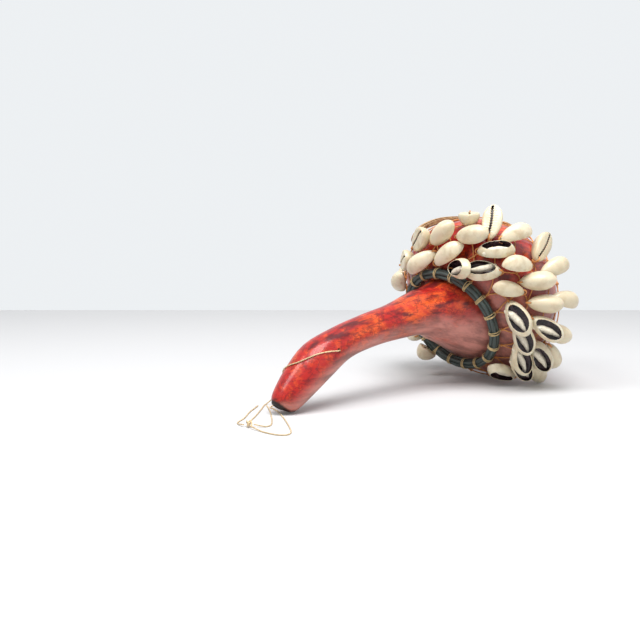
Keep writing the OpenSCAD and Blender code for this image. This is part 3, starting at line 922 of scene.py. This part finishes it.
class RATTLE_OT_hanging_threads(bpy.types.Operator):
    """Adds the thread on the handle, the loop and loose ends on the floor, and their knot"""

    bl_idname = "rattle.hanging_threads"
    bl_label = "Hanging threads"

    def execute(self, context):
        look = context.scene.rattle_net
        material = thread_material("Hanging thread", look, look.hanging_colour)
        self.handle_thread(material)
        knot = self.knot(material)
        routes = (("hanging_left", LEFT_ROUTE, "hanging_loop", "knot", False),
                  ("hanging_outer", OUTER_ROUTE, "hanging_loop", "knot", False),
                  ("hanging_inner", INNER_ROUTE, "loop_end", "bare", True),
                  ("hanging_curl", CURL_ROUTE, "loop_end", "bare", False))
        for name, route, node, end, backwards in routes:
            course = smooth([from_bulb(p) for p in route], 6)
            for p in course:
                p.z = max(p.z, THREAD_R + FLOOR_GAP)
            if backwards:
                course.reverse()
            obj = swept_piece(name, [(course, THREAD_R, False)])
            finish_piece(obj, "gourd", [material], [node])
            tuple(course[0])
            length_of(course)
        return {"FINISHED"}

    def handle_thread(self, material):
        middle, up, r = section_at(HOLE_SECTION)
        at = middle + up * r * HOLE_RISE_SHARE
        reach = r * math.sqrt(1 - HOLE_RISE_SHARE ** 2)
        height = THREAD_R + HANDLE_GAP

        def bend(side, turns):
            return [Vector((at.x - THREAD_BEND * (1 - math.cos(math.radians(a))),
                            at.y + side * (reach - THREAD_SINK
                                           + THREAD_BEND * math.sin(math.radians(a))),
                            at.z)) for a in turns]

        points = ([on_handle(s, a, height) for s, a in FAR_ROUTE]
                  + bend(1, (90, 60, 30, 0)) + bend(-1, (0, 30, 60, 90))
                  + [on_handle(s, a, height) for s, a in NEAR_ROUTE])
        obj = swept_piece("thread_on_handle", [(smooth(points, 4), THREAD_R, False)])
        finish_piece(obj, "gourd", [material], ["handle_cord"])

    def knot(self, material):
        """An overhand knot, drawn tight."""
        turn = Matrix.Rotation(math.radians(HANGING_KNOT_TURN), 3, "Z")
        reach, side, rise = HANGING_KNOT_SIZES
        base = from_bulb(HANGING_KNOT_PLACE)
        course = []
        for k in range(HANGING_KNOT_STEPS):
            t = 2 * math.pi * k / HANGING_KNOT_STEPS
            course.append(base + turn @ Vector((
                reach * (math.sin(t) + 2 * math.sin(2 * t)),
                side * (math.cos(t) - 2 * math.cos(2 * t)),
                -rise * math.sin(3 * t))))
        obj = swept_piece("hanging_knot", [(course, HANGING_KNOT_THREAD_R, True)])
        return finish_piece(obj, "gourd", [material], ["loop_knot"])


class RATTLE_OT_gourd(bpy.types.Operator):
    """Adds the lacquered gourd: bent handle, bulb and the hole for the thread"""

    bl_idname = "rattle.gourd"
    bl_label = "Gourd"

    def execute(self, context):
        rings = self.rings()

        def place(ring, side):
            middle, up, r = rings[ring]
            a = 2 * math.pi * side / GOURD_SIDES
            return middle + r * (up * math.cos(a) + SIDE * math.sin(a))

        obj = wrapped("gourd_skin", len(rings), GOURD_SIDES, place)
        self.drill(obj)
        soften(obj, 50)
        material = gourd_material(context.scene.rattle_gourd)
        finish_piece(obj, "gourd", [material], ["gourd"])
        return {"FINISHED"}

    def rings(self):
        """Each ring's middle, upward direction and radius: stub, handle, then bulb."""
        neck = [((top + bottom) / 2, (top - bottom).normalized(), (top - bottom).length / 2)
                for top, bottom in reversed(neck_sections(NECK_STEPS)[NECK_STEPS:])]
        middle, up, r = neck[0]
        stub = [(middle + TIP_OUT * rise * MM, up, r * share)
                for share, rise in reversed(STUB_SHARES)]
        bulb = []
        for turn in range(ROOT_TURN, BACK_TURN + 1, TURN_STEP):
            p = skin(turn)[0]
            bulb.append((BULB + ALONG * p.y, -LOW, p.x))
        return stub + neck + bulb + [(BULB + ALONG * BACK_DEPTH, -LOW, 0.0)]

    def drill(self, obj):
        middle, up, r = section_at(HOLE_SECTION)
        bit = primitive("cylinder", vertices=24, radius=HOLE_R, depth=3 * r,
                        location=middle + up * r * HOLE_RISE_SHARE,
                        rotation=(math.pi / 2, 0, 0))
        apply_modifier(obj, "BOOLEAN", operation="DIFFERENCE", object=bit, solver="EXACT")
        bpy.data.objects.remove(bit)


def ring_middle():
    """The ring's distance from the bulb's axis and its place along it."""
    turn = ROOT_TURN
    while skin(turn, RING_LIFT)[0].x < RING_R:
        turn += RING_TRIED_STEP
    return skin(turn, RING_LIFT)[0]


class RATTLE_OT_neck_ring(bpy.types.Operator):
    """Adds the dark ring of strands round the neck, pinched at each lashing"""

    bl_idname = "rattle.neck_ring"
    bl_label = "Neck ring"

    def execute(self, context):
        middle = ring_middle()
        rng = random.Random(7)
        threads = []
        for k in range(STRANDS):
            phase = rng.uniform(0, 6)
            course, radii = [], []
            for i in range(RING_STEPS):
                a = 2 * math.pi * i / RING_STEPS
                loose = abs(math.sin(a * COLUMNS / 2))
                wander = STRAND_WANDER * loose * math.sin(3 * a + phase)
                b = math.radians(45 + 360 / STRANDS * k + 7 * math.sin(2 * a + phase) * loose)
                reach = STRAND_STEP / math.sqrt(2) * (0.93 + 0.1 * loose) + wander
                course.append(BULB + round_axis(
                    middle + Vector((math.cos(b), math.sin(b))) * reach, a))
                radii.append(STRAND_R * (1.04 + 0.1 * loose + 0.02 * math.sin(11 * a + phase)))
            threads.append((course, radii, True))
        obj = swept_piece("ring_strands", threads, sides=14)
        material = ring_material(context.scene.rattle_net)
        finish_piece(obj, "net", [material], ["neck_ring"])
        return {"FINISHED"}


class RATTLE_OT_lashings(bpy.types.Operator):
    """Adds the lashings: turns of thread round the ring, each with its knot"""

    bl_idname = "rattle.lashings"
    bl_label = "Lashings"

    def execute(self, context):
        look = context.scene.rattle_net
        middle = ring_middle()
        rng = random.Random(11)
        threads = []
        for i in range(COLUMNS):
            a = net_angle(i)
            across = round_axis(Vector((1, 0)), a)
            onward = round_axis(Vector((1, 0)), a + math.pi / 2)
            centre = BULB + round_axis(middle, a)
            for k in (-1, 0, 1):
                lean = rng.uniform(-0.16, 0.16) + 0.05 * k
                u = (across + onward * lean).normalized()
                reach = LASHING_R - LASHING_SINK + 0.05 * k * MM
                ring = hoop(centre + onward * k * rng.uniform(0.5, 0.75) * MM, u, ALONG,
                            reach, reach, 28)
                threads.append((ring, LASHING_THREAD_R, True))
            out = net_outward(i, 0)
            seat = centre + (net_point(i, 0, KNOT_H) - centre).normalized() * LASHING_R
            for tilt in (0.5, -0.6):
                u = (onward + out * tilt).normalized()
                v = (seat - centre).normalized().cross(u)
                threads.append((hoop(seat, u, v, LASHING_KNOT_R, LASHING_KNOT_RISE, 14),
                                LASHING_KNOT_THREAD_R, True))
        obj = swept_piece("ring_lashing_turns", threads)
        material = thread_material("Lashing thread", look, look.lashing_colour)
        finish_piece(obj, "net", [material], ["ring_lashings"])
        return {"FINISHED"}


class Shell(NamedTuple):
    """A cowrie's number, tie point, axes, size and kind."""

    number: str
    tie: Vector
    ahead: Vector
    across: Vector
    away: Vector
    size: float
    kind: str


def shell_places():
    """Every cowrie, from its swing joint and its node."""
    places = []
    for name in sorted(n for n in frame["nodes"] if n.startswith("cowrie_")):
        number = name.rsplit("_", 1)[1]
        joint = JOINTS["swing_" + number]
        tie = Vector(joint["pos_m"])
        across = -Vector(joint["axis"]).normalized()
        points = [v.co for v in frame["nodes"][name].data.vertices]
        far = max(points, key=lambda p: (p - tie).length)
        ahead = far - tie
        ahead -= across * ahead.dot(across)
        size = (ahead.length + TIE_IN) / SHELL_L
        ahead.normalize()
        away = ahead.cross(across)
        heights = [(p - tie).dot(away) for p in points]
        low, high = min(heights), max(heights)
        if -low > high:
            kind = "slit_out"
        elif high < SHELL_W * size * OPEN_SHARE:
            kind = "open_back"
        else:
            kind = "whole"
        roll = Matrix.Rotation(math.radians(ROLLS.get(number, 0)), 3, -ahead)
        places.append(Shell(number, tie, ahead, roll @ across, roll @ away, size, kind))
    return places


def outline_turn(tie):
    """The turn of the outline under a tie point, and the point's angle round the axis."""
    rel = tie - BULB
    angle = math.atan2(rel.dot(SIDE), rel.dot(LOW))
    spot = Vector((math.hypot(rel.dot(SIDE), rel.dot(LOW)), rel.dot(ALONG)))
    turns = [ROOT_TURN + TRIED_STEP * k for k in range(TRIED_TURNS)]
    return min(turns, key=lambda t: (skin(t, TIE_H)[0] - spot).length), angle


def knot_column(row, i):
    return i + (row % 2) / 2


def net_places():
    """Each knot's and each cord's key, column and row, in the order in which they are made."""
    for row in range(ROWS + 1):
        for i in range(COLUMNS):
            column = knot_column(row, i)
            yield ("knot", row, i), column, row
            if row < ROWS:
                yield ("cord", row, i, 0), column + 0.25, row + 0.5
                yield ("cord", row, i, 1), column - 0.25, row + 0.5


class NetPlaces:
    """Where each knot and each cord's middle lies, drawn up and aside where a shell is tied."""

    def __init__(self):
        shells = shell_places()
        self.points, self.outs = {}, {}
        for key, column, row in net_places():
            self.points[key] = net_point(column, row, KNOT_H)
            self.outs[key] = net_outward(column, row)
        self.ties = {}
        pairs = sorted(((shell.tie - point).length, shell.number, key)
                       for shell in shells for key, point in self.drawn().items())
        for _, number, key in pairs:
            if number not in self.ties and key not in self.ties.values():
                self.ties[number] = key
        for shell in shells:
            turn, angle = outline_turn(shell.tie)
            flat, slope = skin(turn, KNOT_H + TIE_RISE)
            self.points[self.ties[shell.number]] = BULB + round_axis(flat, angle)
            self.outs[self.ties[shell.number]] = round_axis(slope, angle)

    def drawn(self):
        """The places that the net's node leaves, because a shell draws them up."""
        corners = frame["nodes"]["net"].data.vertices
        tree = KDTree(len(corners))
        for v in corners:
            tree.insert(v.co, v.index)
        tree.balance()
        reach = {"knot": math.sqrt(KNOT_W ** 2 + CORD_W ** 2 + KNOT_T ** 2) / 2,
                 "cord": CORD_W / math.sqrt(2)}
        return {key: point for key, point in self.points.items()
                if abs(tree.find(point)[2] - reach[key[0]]) > DRAWN_FROM}


class RATTLE_OT_net(bpy.types.Operator):
    """Adds the knotted net, from the lashings to the gather at the blossom end"""

    bl_idname = "rattle.net"
    bl_label = "Net"

    def execute(self, context):
        look = context.scene.rattle_net
        places = NetPlaces()
        tied = set(places.ties.values())
        rng = random.Random(3)
        points = dict(places.points)
        for key in points:
            if key not in tied and key[1] < ROWS:
                out = places.outs[key]
                east = ALONG.cross(out).normalized()
                stray = KNOT_STRAY if key[0] == "knot" else CORD_STRAY
                points[key] = (points[key] + east * rng.uniform(-stray, stray)
                               + out.cross(east) * rng.uniform(-stray, stray))
        threads = []
        for row in range(ROWS):
            for i in range(COLUMNS):
                for side in (0, 1):
                    below = (i + (row % 2) - side) % COLUMNS
                    stops = [points["knot", row, i], points["cord", row, i, side],
                             points["knot", row + 1, below]]
                    threads.append((smooth(stops, 4), NET_THREAD_R, False))
        middle = ring_middle()
        for i in range(COLUMNS):
            centre = BULB + round_axis(middle, net_angle(i))
            knot = points["knot", 0, i]
            start = centre + (knot - centre).normalized() * LASHING_R
            threads.append(([start, (start + knot) / 2, knot], NET_THREAD_R, False))
        for key, point in points.items():
            if key[0] == "cord" and key not in tied:
                continue
            threads += self.knot(point, places.outs[key], key in tied, rng)
        obj = swept_piece("net_cords", threads)
        material = thread_material("Net thread", look, look.net_colour)
        finish_piece(obj, "net", [material], ["net"])
        return {"FINISHED"}

    def knot(self, point, out, tied, rng):
        """A small knot: two turns of cord crossed over each other."""
        east = ALONG.cross(out).normalized()
        lean = rng.uniform(-0.5, 0.5)
        reach = TIED_TURN_R if tied else TURN_R
        turns = []
        for angle in (lean + 0.6, lean - 0.8):
            u = (east * math.cos(angle) + out.cross(east) * math.sin(angle)).normalized()
            turns.append((hoop(point, u, out, reach, TURN_RISE, 12), TURN_THREAD_R, True))
        return turns


class RATTLE_OT_ties(bpy.types.Operator):
    """Adds the small double loops of thread that hold the shells"""

    bl_idname = "rattle.ties"
    bl_label = "Shell ties"

    def execute(self, context):
        look = context.scene.rattle_net
        threads = []
        for shell in shell_places():
            for lean in (TIE_LEAN, -TIE_LEAN):
                u = (shell.ahead + shell.across * lean).normalized()
                v = (shell.away - shell.across * lean / 2).normalized()
                threads.append((hoop(shell.tie, u, v, TIE_LOOP_R, TIE_LOOP_R, 22),
                                TIE_THREAD_R, True))
            turn, angle = outline_turn(shell.tie)
            out = round_axis(skin(turn)[1], angle)
            down = (shell.across * out.dot(shell.across) - out).normalized()
            foot = shell.tie + down * (TIE_LOOP_R + TIE_KNOT_GAP)
            threads.append((hoop(foot, shell.across, shell.ahead, TIE_KNOT_R, TIE_KNOT_R, 12),
                            TIE_KNOT_THREAD_R, True))
            base = shell.tie - out * (TIE_H - KNOT_H - TIE_RISE - GAP)
            threads.append(([foot, (foot + base) / 2, base], TIE_FOOT_R, False))
        obj = swept_piece("shell_ties", threads)
        material = thread_material("Tie thread", look, look.net_colour)
        finish_piece(obj, "net", [material], ["tie_loops"])
        return {"FINISHED"}


def plateau(value, start, rise, end, fall):
    """0 up to start and from end on, and 1 between, with even slopes at both."""
    return (min(1.0, max(0.0, (value - start) / rise))
            * min(1.0, max(0.0, (end - value) / fall)))


class RATTLE_OT_cowries(bpy.types.Operator):
    """Adds the cowries: whole ones, ones with the slit out and ones with their back cut off"""

    bl_idname = "rattle.cowries"
    bl_label = "Cowries"

    def execute(self, context):
        look = context.scene.rattle_shell
        materials = [ivory_material(look), inside_and_slit_shade_material(look), column_material(look)]
        whole = self.shell(look, materials)
        opened = self.opened(self.shell(look, materials), look)
        for master in (whole, opened):
            self.pierce(master)
            soften(master, 45)
        rng = random.Random(5)
        for shell in shell_places():
            mesh = (opened if shell.kind == "open_back" else whole).data.copy()
            name = "shell_" + shell.number
            obj = new_object(name, mesh)
            if shell.kind == "slit_out":
                mesh.transform(Matrix.Rotation(math.pi, 4, "X"))
            plump = SLENDER * rng.uniform(0.95, 1.03)
            if shell.kind == "whole":
                plump *= WHOLE_SLENDER
            place = Matrix((shell.ahead, shell.across, shell.away)).transposed().to_4x4()
            place.translation = shell.tie
            size = shell.size
            mesh.transform(place @ Matrix.Diagonal((size, size * plump, size, 1)))
            tone = mesh.attributes.new("tone", "FLOAT", "POINT")
            tone.data.foreach_set("value", [rng.random()] * len(mesh.vertices))
            finish_piece(obj, name, materials, ["cowrie_" + shell.number])
        for master in (whole, opened):
            bpy.data.objects.remove(master)
        return {"FINISHED"}

    def shell(self, look, materials):
        """A closed cowrie, its flat side below, with a toothed slit rolled inwards."""
        obj = primitive("uv_sphere", segments=SHELL_SIDES, ring_count=SHELL_RINGS, radius=1)
        for material in materials:
            obj.data.materials.append(material)
        obj.data.transform(Matrix.Rotation(math.pi / 2, 4, "Y"))
        inner = set()
        for v in obj.data.vertices:
            v.co, deep = self.shaped(v.co, look)
            if deep:
                inner.add(v.index)
        # Faces deep in the slit take the dark inside colour: painted shade of the hollow behind
        # the slit
        for face in obj.data.polygons:
            face.material_index = 1 if all(i in inner for i in face.vertices) else 0
        in_edit_mode(obj, lambda: bpy.ops.mesh.normals_make_consistent(inside=False))
        return obj

    def shaped(self, unit, look):
        """A point of the unit ball as a point of the shell, and whether it is in the slit."""
        reach = unit.x
        x = SHELL_L * (NOSE_SHARE + (NOSE_SHARE if reach < 0 else 1 - NOSE_SHARE) * reach)
        girth = SHELL_W / 2 * max(0.0, 1 - reach * reach) ** GIRTH_ROUNDNESS
        angle = math.atan2(unit.z, unit.y)
        if math.hypot(unit.y, unit.z) < 1e-5:
            y, z, deep = 0.0, 0.0, False
        elif angle >= -1e-4:
            flare = abs(math.cos(angle))
            y = girth * math.cos(angle) * (1 + 0.05 * flare ** 8)
            z = girth * math.sin(angle) * (1 - 0.04 * flare ** 2)
            deep = False
        else:
            y, z, deep = self.on_flat(x, girth, angle, look)
        return Vector((x - TIE_IN, y, z)), deep

    def on_flat(self, x, girth, angle, look):
        """Side and height on the flat side, which runs from the slit's depth to the edge."""
        half = SHELL_W / 2
        share = x / SHELL_L
        base = (SHELL_H - half) * (girth / half) ** FLAT_ROUNDNESS
        middle = math.sqrt(SLIT_CURVE_R ** 2 - (x - SHELL_L / 2) ** 2) - SLIT_CURVE_R
        middle *= girth / half
        fade = plateau(share, *SLIT_SPAN)
        turns = look.teeth * (share - TEETH_START) / TEETH_SPREAD
        tooth = (0.5 + 0.5 * math.cos(2 * math.pi * turns)) ** 1.5 * plateau(share, *TEETH_SPAN)
        slit = min(look.slit_width / 2, 0.3 * girth) * fade
        gate = slit * (1 - 0.55 * tooth)
        depth = min(SLIT_DEPTH, girth) * fade
        ridge = TOOTH_RISE * tooth
        profile = (
            (0.0, depth), (slit * 0.9, depth * 0.95), (slit, depth * 0.5),
            (gate, LIP_DEPTH * fade), (gate + LIP_W * fade, LIP_DIP * fade - ridge),
            (gate + GUM_W * fade, -ridge),
        )
        steps = SHELL_SIDES // 4
        offset = (angle + math.pi / 2) / (math.pi / 2) * steps
        step, side = round(abs(offset)), (1 if offset > 0 else -1)
        if step < len(profile):
            reach, sink = profile[step]
            if fade == 0.0:
                reach = girth * 0.06 * step
            return middle + side * reach, sink - base, step < 4 and fade > 0.3
        part = (step - len(profile) + 1) / (steps - len(profile) + 1)
        inner = middle + side * (profile[-1][0] if fade > 0 else girth * 0.3)
        y = inner + (side * girth * 1.05 - inner) * math.sin(part * math.pi / 2)
        z = -base * max(0.0, 1 - part ** 2.4) ** 0.6 - ridge * max(0.0, 1 - part * 1.6)
        return y, z, False

    def opened(self, obj, look):
        """The back cut off flat, the wall given its thickness, and the inner column."""
        height = SHELL_H * CUT_SHARE - (SHELL_H - SHELL_W / 2)
        in_edit_mode(obj, lambda: bpy.ops.mesh.bisect(
            plane_co=(0, 0, height), plane_no=(0, 0, 1), clear_outer=True))
        for face in obj.data.polygons:
            face.material_index = 0
        apply_modifier(obj, "SOLIDIFY", thickness=look.wall, offset=-1, use_rim=True,
                       use_even_offset=True, thickness_clamp=1.0, material_offset=1,
                       material_offset_rim=0)
        column = primitive("uv_sphere", segments=24, ring_count=24, radius=1)
        for v in column.data.vertices:
            u = v.co.z
            bow = COLUMN_BOW * u * u - COLUMN_LEAN * u
            taper = (1 - 0.35 * u) * (1 + 0.05 * math.sin(9 * u))
            v.co = Vector((COLUMN_MIDDLE - TIE_IN + u * COLUMN_L / 2,
                           v.co.y * COLUMN_W / 2 * taper - COLUMN_ASIDE - bow,
                           v.co.x * COLUMN_W * 0.52 * taper + COLUMN_RISE))
        for material in obj.data.materials:
            column.data.materials.append(material)
        for face in column.data.polygons:
            face.material_index = 2
        choose(obj)
        column.select_set(True)
        bpy.ops.object.join()
        return obj

    def pierce(self, obj):
        """The hole for the tie loop."""
        bit = primitive("torus", major_radius=TIE_LOOP_R, minor_radius=PIERCE_R,
                        major_segments=40, minor_segments=14, rotation=(math.pi / 2, 0, 0))
        bpy.ops.object.transform_apply(location=True, rotation=True, scale=True)
        bit.data.materials.append(obj.data.materials[0])
        apply_modifier(obj, "BOOLEAN", operation="DIFFERENCE", object=bit, solver="EXACT",
                       use_self=True)
        bpy.data.objects.remove(bit)


class RATTLE_OT_tail(bpy.types.Operator):
    """Adds the fibre tail that lies back over the bulb, and the cord bound round its root"""

    bl_idname = "rattle.tail"
    bl_label = "Tail"

    def execute(self, context):
        look = context.scene.rattle_net
        rng = random.Random(19)
        obj = swept_piece("tail_fibres", self.fibres(look.tail_strands, rng), sides=6)
        finish_piece(obj, "net", [tail_material(look)], ["tail"])
        obj = swept_piece("tail_wrapping", self.wrapping(rng))
        material = thread_material("Gather thread", look, look.net_colour)
        finish_piece(obj, "net", [material], ["tail_binding"])
        return {"FINISHED"}

    def fibres(self, strands, rng):
        """Fibres of their own length, which spread and sway a little along the tail."""
        points = [on_bulb(0, 0, BACK_DEPTH + GAP + k * TAIL_ROOT / 2) for k in range(3)]
        points += [net_point(c, r, h * MM) for c, r, h in TAIL_ROUTE]
        course = smooth(points, 5)
        last = len(course) - 1
        threads = []
        for k in range(strands):
            reach = math.sqrt((k + 0.5) / strands)
            length = int(len(course) * rng.uniform(0.72, 1.0))
            sway, phase = rng.uniform(0.1, 0.35), rng.uniform(0, 6)
            strand, radii = [], []
            for i in range(length):
                t = i / last
                ahead = (course[min(i + 1, last)] - course[max(i - 1, 0)]).normalized()
                u = SIDE.cross(ahead).normalized()
                v = ahead.cross(u)
                wide = (TAIL_R - TAIL_THINNING * t) * reach * 0.86
                a = GOLDEN_ANGLE * k + 1.3 * t
                wave = sway * MM * math.sin(9 * t + phase) * min(1.0, 4 * t)
                strand.append(course[i] + u * (wide * math.cos(a) + wave)
                              + v * (wide * math.sin(a) * (1 + 0.5 * t) + wave))
                radii.append(FIBRE_R - FIBRE_THINNING * t)
            threads.append((strand, radii, False))
        return threads

    def wrapping(self, rng):
        """The gather of the net's last row, and the turns of cord round the tail's root."""
        gather = skin(LAST_TURN, KNOT_H)[0].x - KNOT_W / 2 - GAP - CORD_W / 2
        height = BACK_DEPTH + CORD_W / 2 + GAP
        bands = [(gather, height)]
        bands += [(BINDING_R, BACK_DEPTH + GAP + k * BINDING_PITCH) for k in (2, 3, 4)]
        threads = []
        for reach, place in bands:
            lean = rng.uniform(-0.04, 0.04)
            v = (SIDE + ALONG * lean).normalized()
            threads.append((hoop(on_bulb(0, 0, place), LOW, v, reach, reach, 36),
                            BINDING_THREAD_R, True))
        for i in range(COLUMNS):
            column = knot_column(ROWS, i)
            knot = net_point(column, ROWS, KNOT_H)
            seat = BULB + round_axis(Vector((gather, height)), net_angle(column))
            threads.append(([knot, (knot + seat) / 2, seat], GATHER_THREAD_R, False))
        return threads


class RATTLE_OT_stage(bpy.types.Operator):
    """Adds the pale floor, the backdrop and the soft lamps"""

    bl_idname = "rattle.stage"
    bl_label = "Stage"

    def execute(self, context):
        look = context.scene.rattle_stage
        context.scene.view_settings.view_transform = "Standard"
        heading = CAMERA_HEADING.normalized()
        side = Vector((heading.y, -heading.x, 0))
        self.floor(look, heading, side)
        self.world(context.scene, look)
        for name, (aside, away, up, size), power in (
                ("Main lamp", MAIN_LAMP, look.key_power),
                ("Fill lamp", FILL_LAMP, look.fill_power),
                ("Top lamp", TOP_LAMP, look.top_power)):
            place = LIT_MIDDLE + side * aside + heading * away + Vector((0, 0, up))
            self.lamp(name, place, size, power)
        return {"FINISHED"}

    def lamp(self, name, place, size, power):
        data = bpy.data.lights.new(name, "AREA")
        data.shape = "SQUARE"
        data.size = size
        data.energy = power
        lamp = new_object(name, data)
        lamp.location = place
        lamp.rotation_euler = (LIT_MIDDLE - place).to_track_quat("-Z", "Y").to_euler()

    def floor(self, look, heading, side):
        """A wide floor from behind the camera to its far edge, matt and nearly white."""
        floor = primitive("plane", size=1)
        floor.name = "floor"
        foot = Vector((BULB.x + CAMERA_FROM_BULB.x, BULB.y + CAMERA_FROM_BULB.y, 0))
        for v in floor.data.vertices:
            away = FLOOR_EDGE if v.co.y > 0 else -FLOOR_BEHIND
            aside = math.copysign(FLOOR_ASIDE, v.co.x)
            v.co = foot + heading * away + side * aside
        floor.data.update()
        material, tree, surface = new_material("White floor")
        seen = add(tree, "LightPath").outputs["Is Camera Ray"]
        fill(tree, surface, {
            "Base Color": (*look.floor, 1),
            "Roughness": 0.7,
            "Emission Color": (1, 1, 1, 1),
            "Emission Strength": times(tree, seen, FLOOR_GLOW),
        })
        floor.data.materials.append(material)

    def world(self, scene, look):
        """A dim sky for the light, behind which the camera sees the backdrop's colour."""
        world = bpy.data.worlds.new("Backdrop")
        scene.world = world
        world.use_nodes = True
        tree = world.node_tree
        tree.nodes.clear()
        rays = add(tree, "LightPath").outputs
        seen = sums(tree, "MAXIMUM", rays["Is Camera Ray"],
                    sums(tree, "MAXIMUM", rays["Is Glossy Ray"], rays["Is Transmission Ray"]))
        dim = add(tree, "Background", {"Color": SKY_LIGHT, "Strength": SKY_STRENGTH})
        bright = add(tree, "Background", {"Color": (*look.backdrop, 1), "Strength": 1.0})
        mixed = add(tree, "MixShader", {0: seen, 1: dim.outputs[0],
                                        2: bright.outputs[0]}).outputs[0]
        add(tree, "OutputWorld", {"Surface": mixed})


class RATTLE_PT_panel(bpy.types.Panel):
    """Lists the rattle's pieces and their looks"""

    bl_idname = "RATTLE_PT_panel"
    bl_label = "Cowrie gourd rattle"
    bl_space_type = "VIEW_3D"
    bl_region_type = "UI"
    bl_category = "Rattle"

    def draw(self, context):
        for step in STEPS:
            self.layout.operator(step)
        for group in GROUPS:
            look = getattr(context.scene, group)
            for name in look.__annotations__:
                self.layout.prop(look, name)


OPERATORS = [
    RATTLE_OT_camera,
    RATTLE_OT_hanging_threads,
    RATTLE_OT_gourd,
    RATTLE_OT_neck_ring,
    RATTLE_OT_lashings,
    RATTLE_OT_net,
    RATTLE_OT_ties,
    RATTLE_OT_cowries,
    RATTLE_OT_tail,
    RATTLE_OT_stage,
]
STEPS = [operator.bl_idname for operator in OPERATORS]
GROUPS = {
    "rattle_gourd": GourdLook,
    "rattle_net": NetLook,
    "rattle_shell": ShellLook,
    "rattle_stage": StageLook,
}
CLASSES = [*GROUPS.values(), *OPERATORS, RATTLE_PT_panel]


def register():
    for cls in CLASSES:
        bpy.utils.register_class(cls)
    for name, group in GROUPS.items():
        setattr(bpy.types.Scene, name, bpy.props.PointerProperty(type=group))


def unregister():
    for name in GROUPS:
        delattr(bpy.types.Scene, name)
    for cls in reversed(CLASSES):
        bpy.utils.unregister_class(cls)


def main():
    register()
    for build in (ply_group, patch_group, ridge_group):
        build()
    for step in STEPS:
        family, name = step.split(".")
        getattr(getattr(bpy.ops, family), name)()


if __name__ == "__main__":
    main()
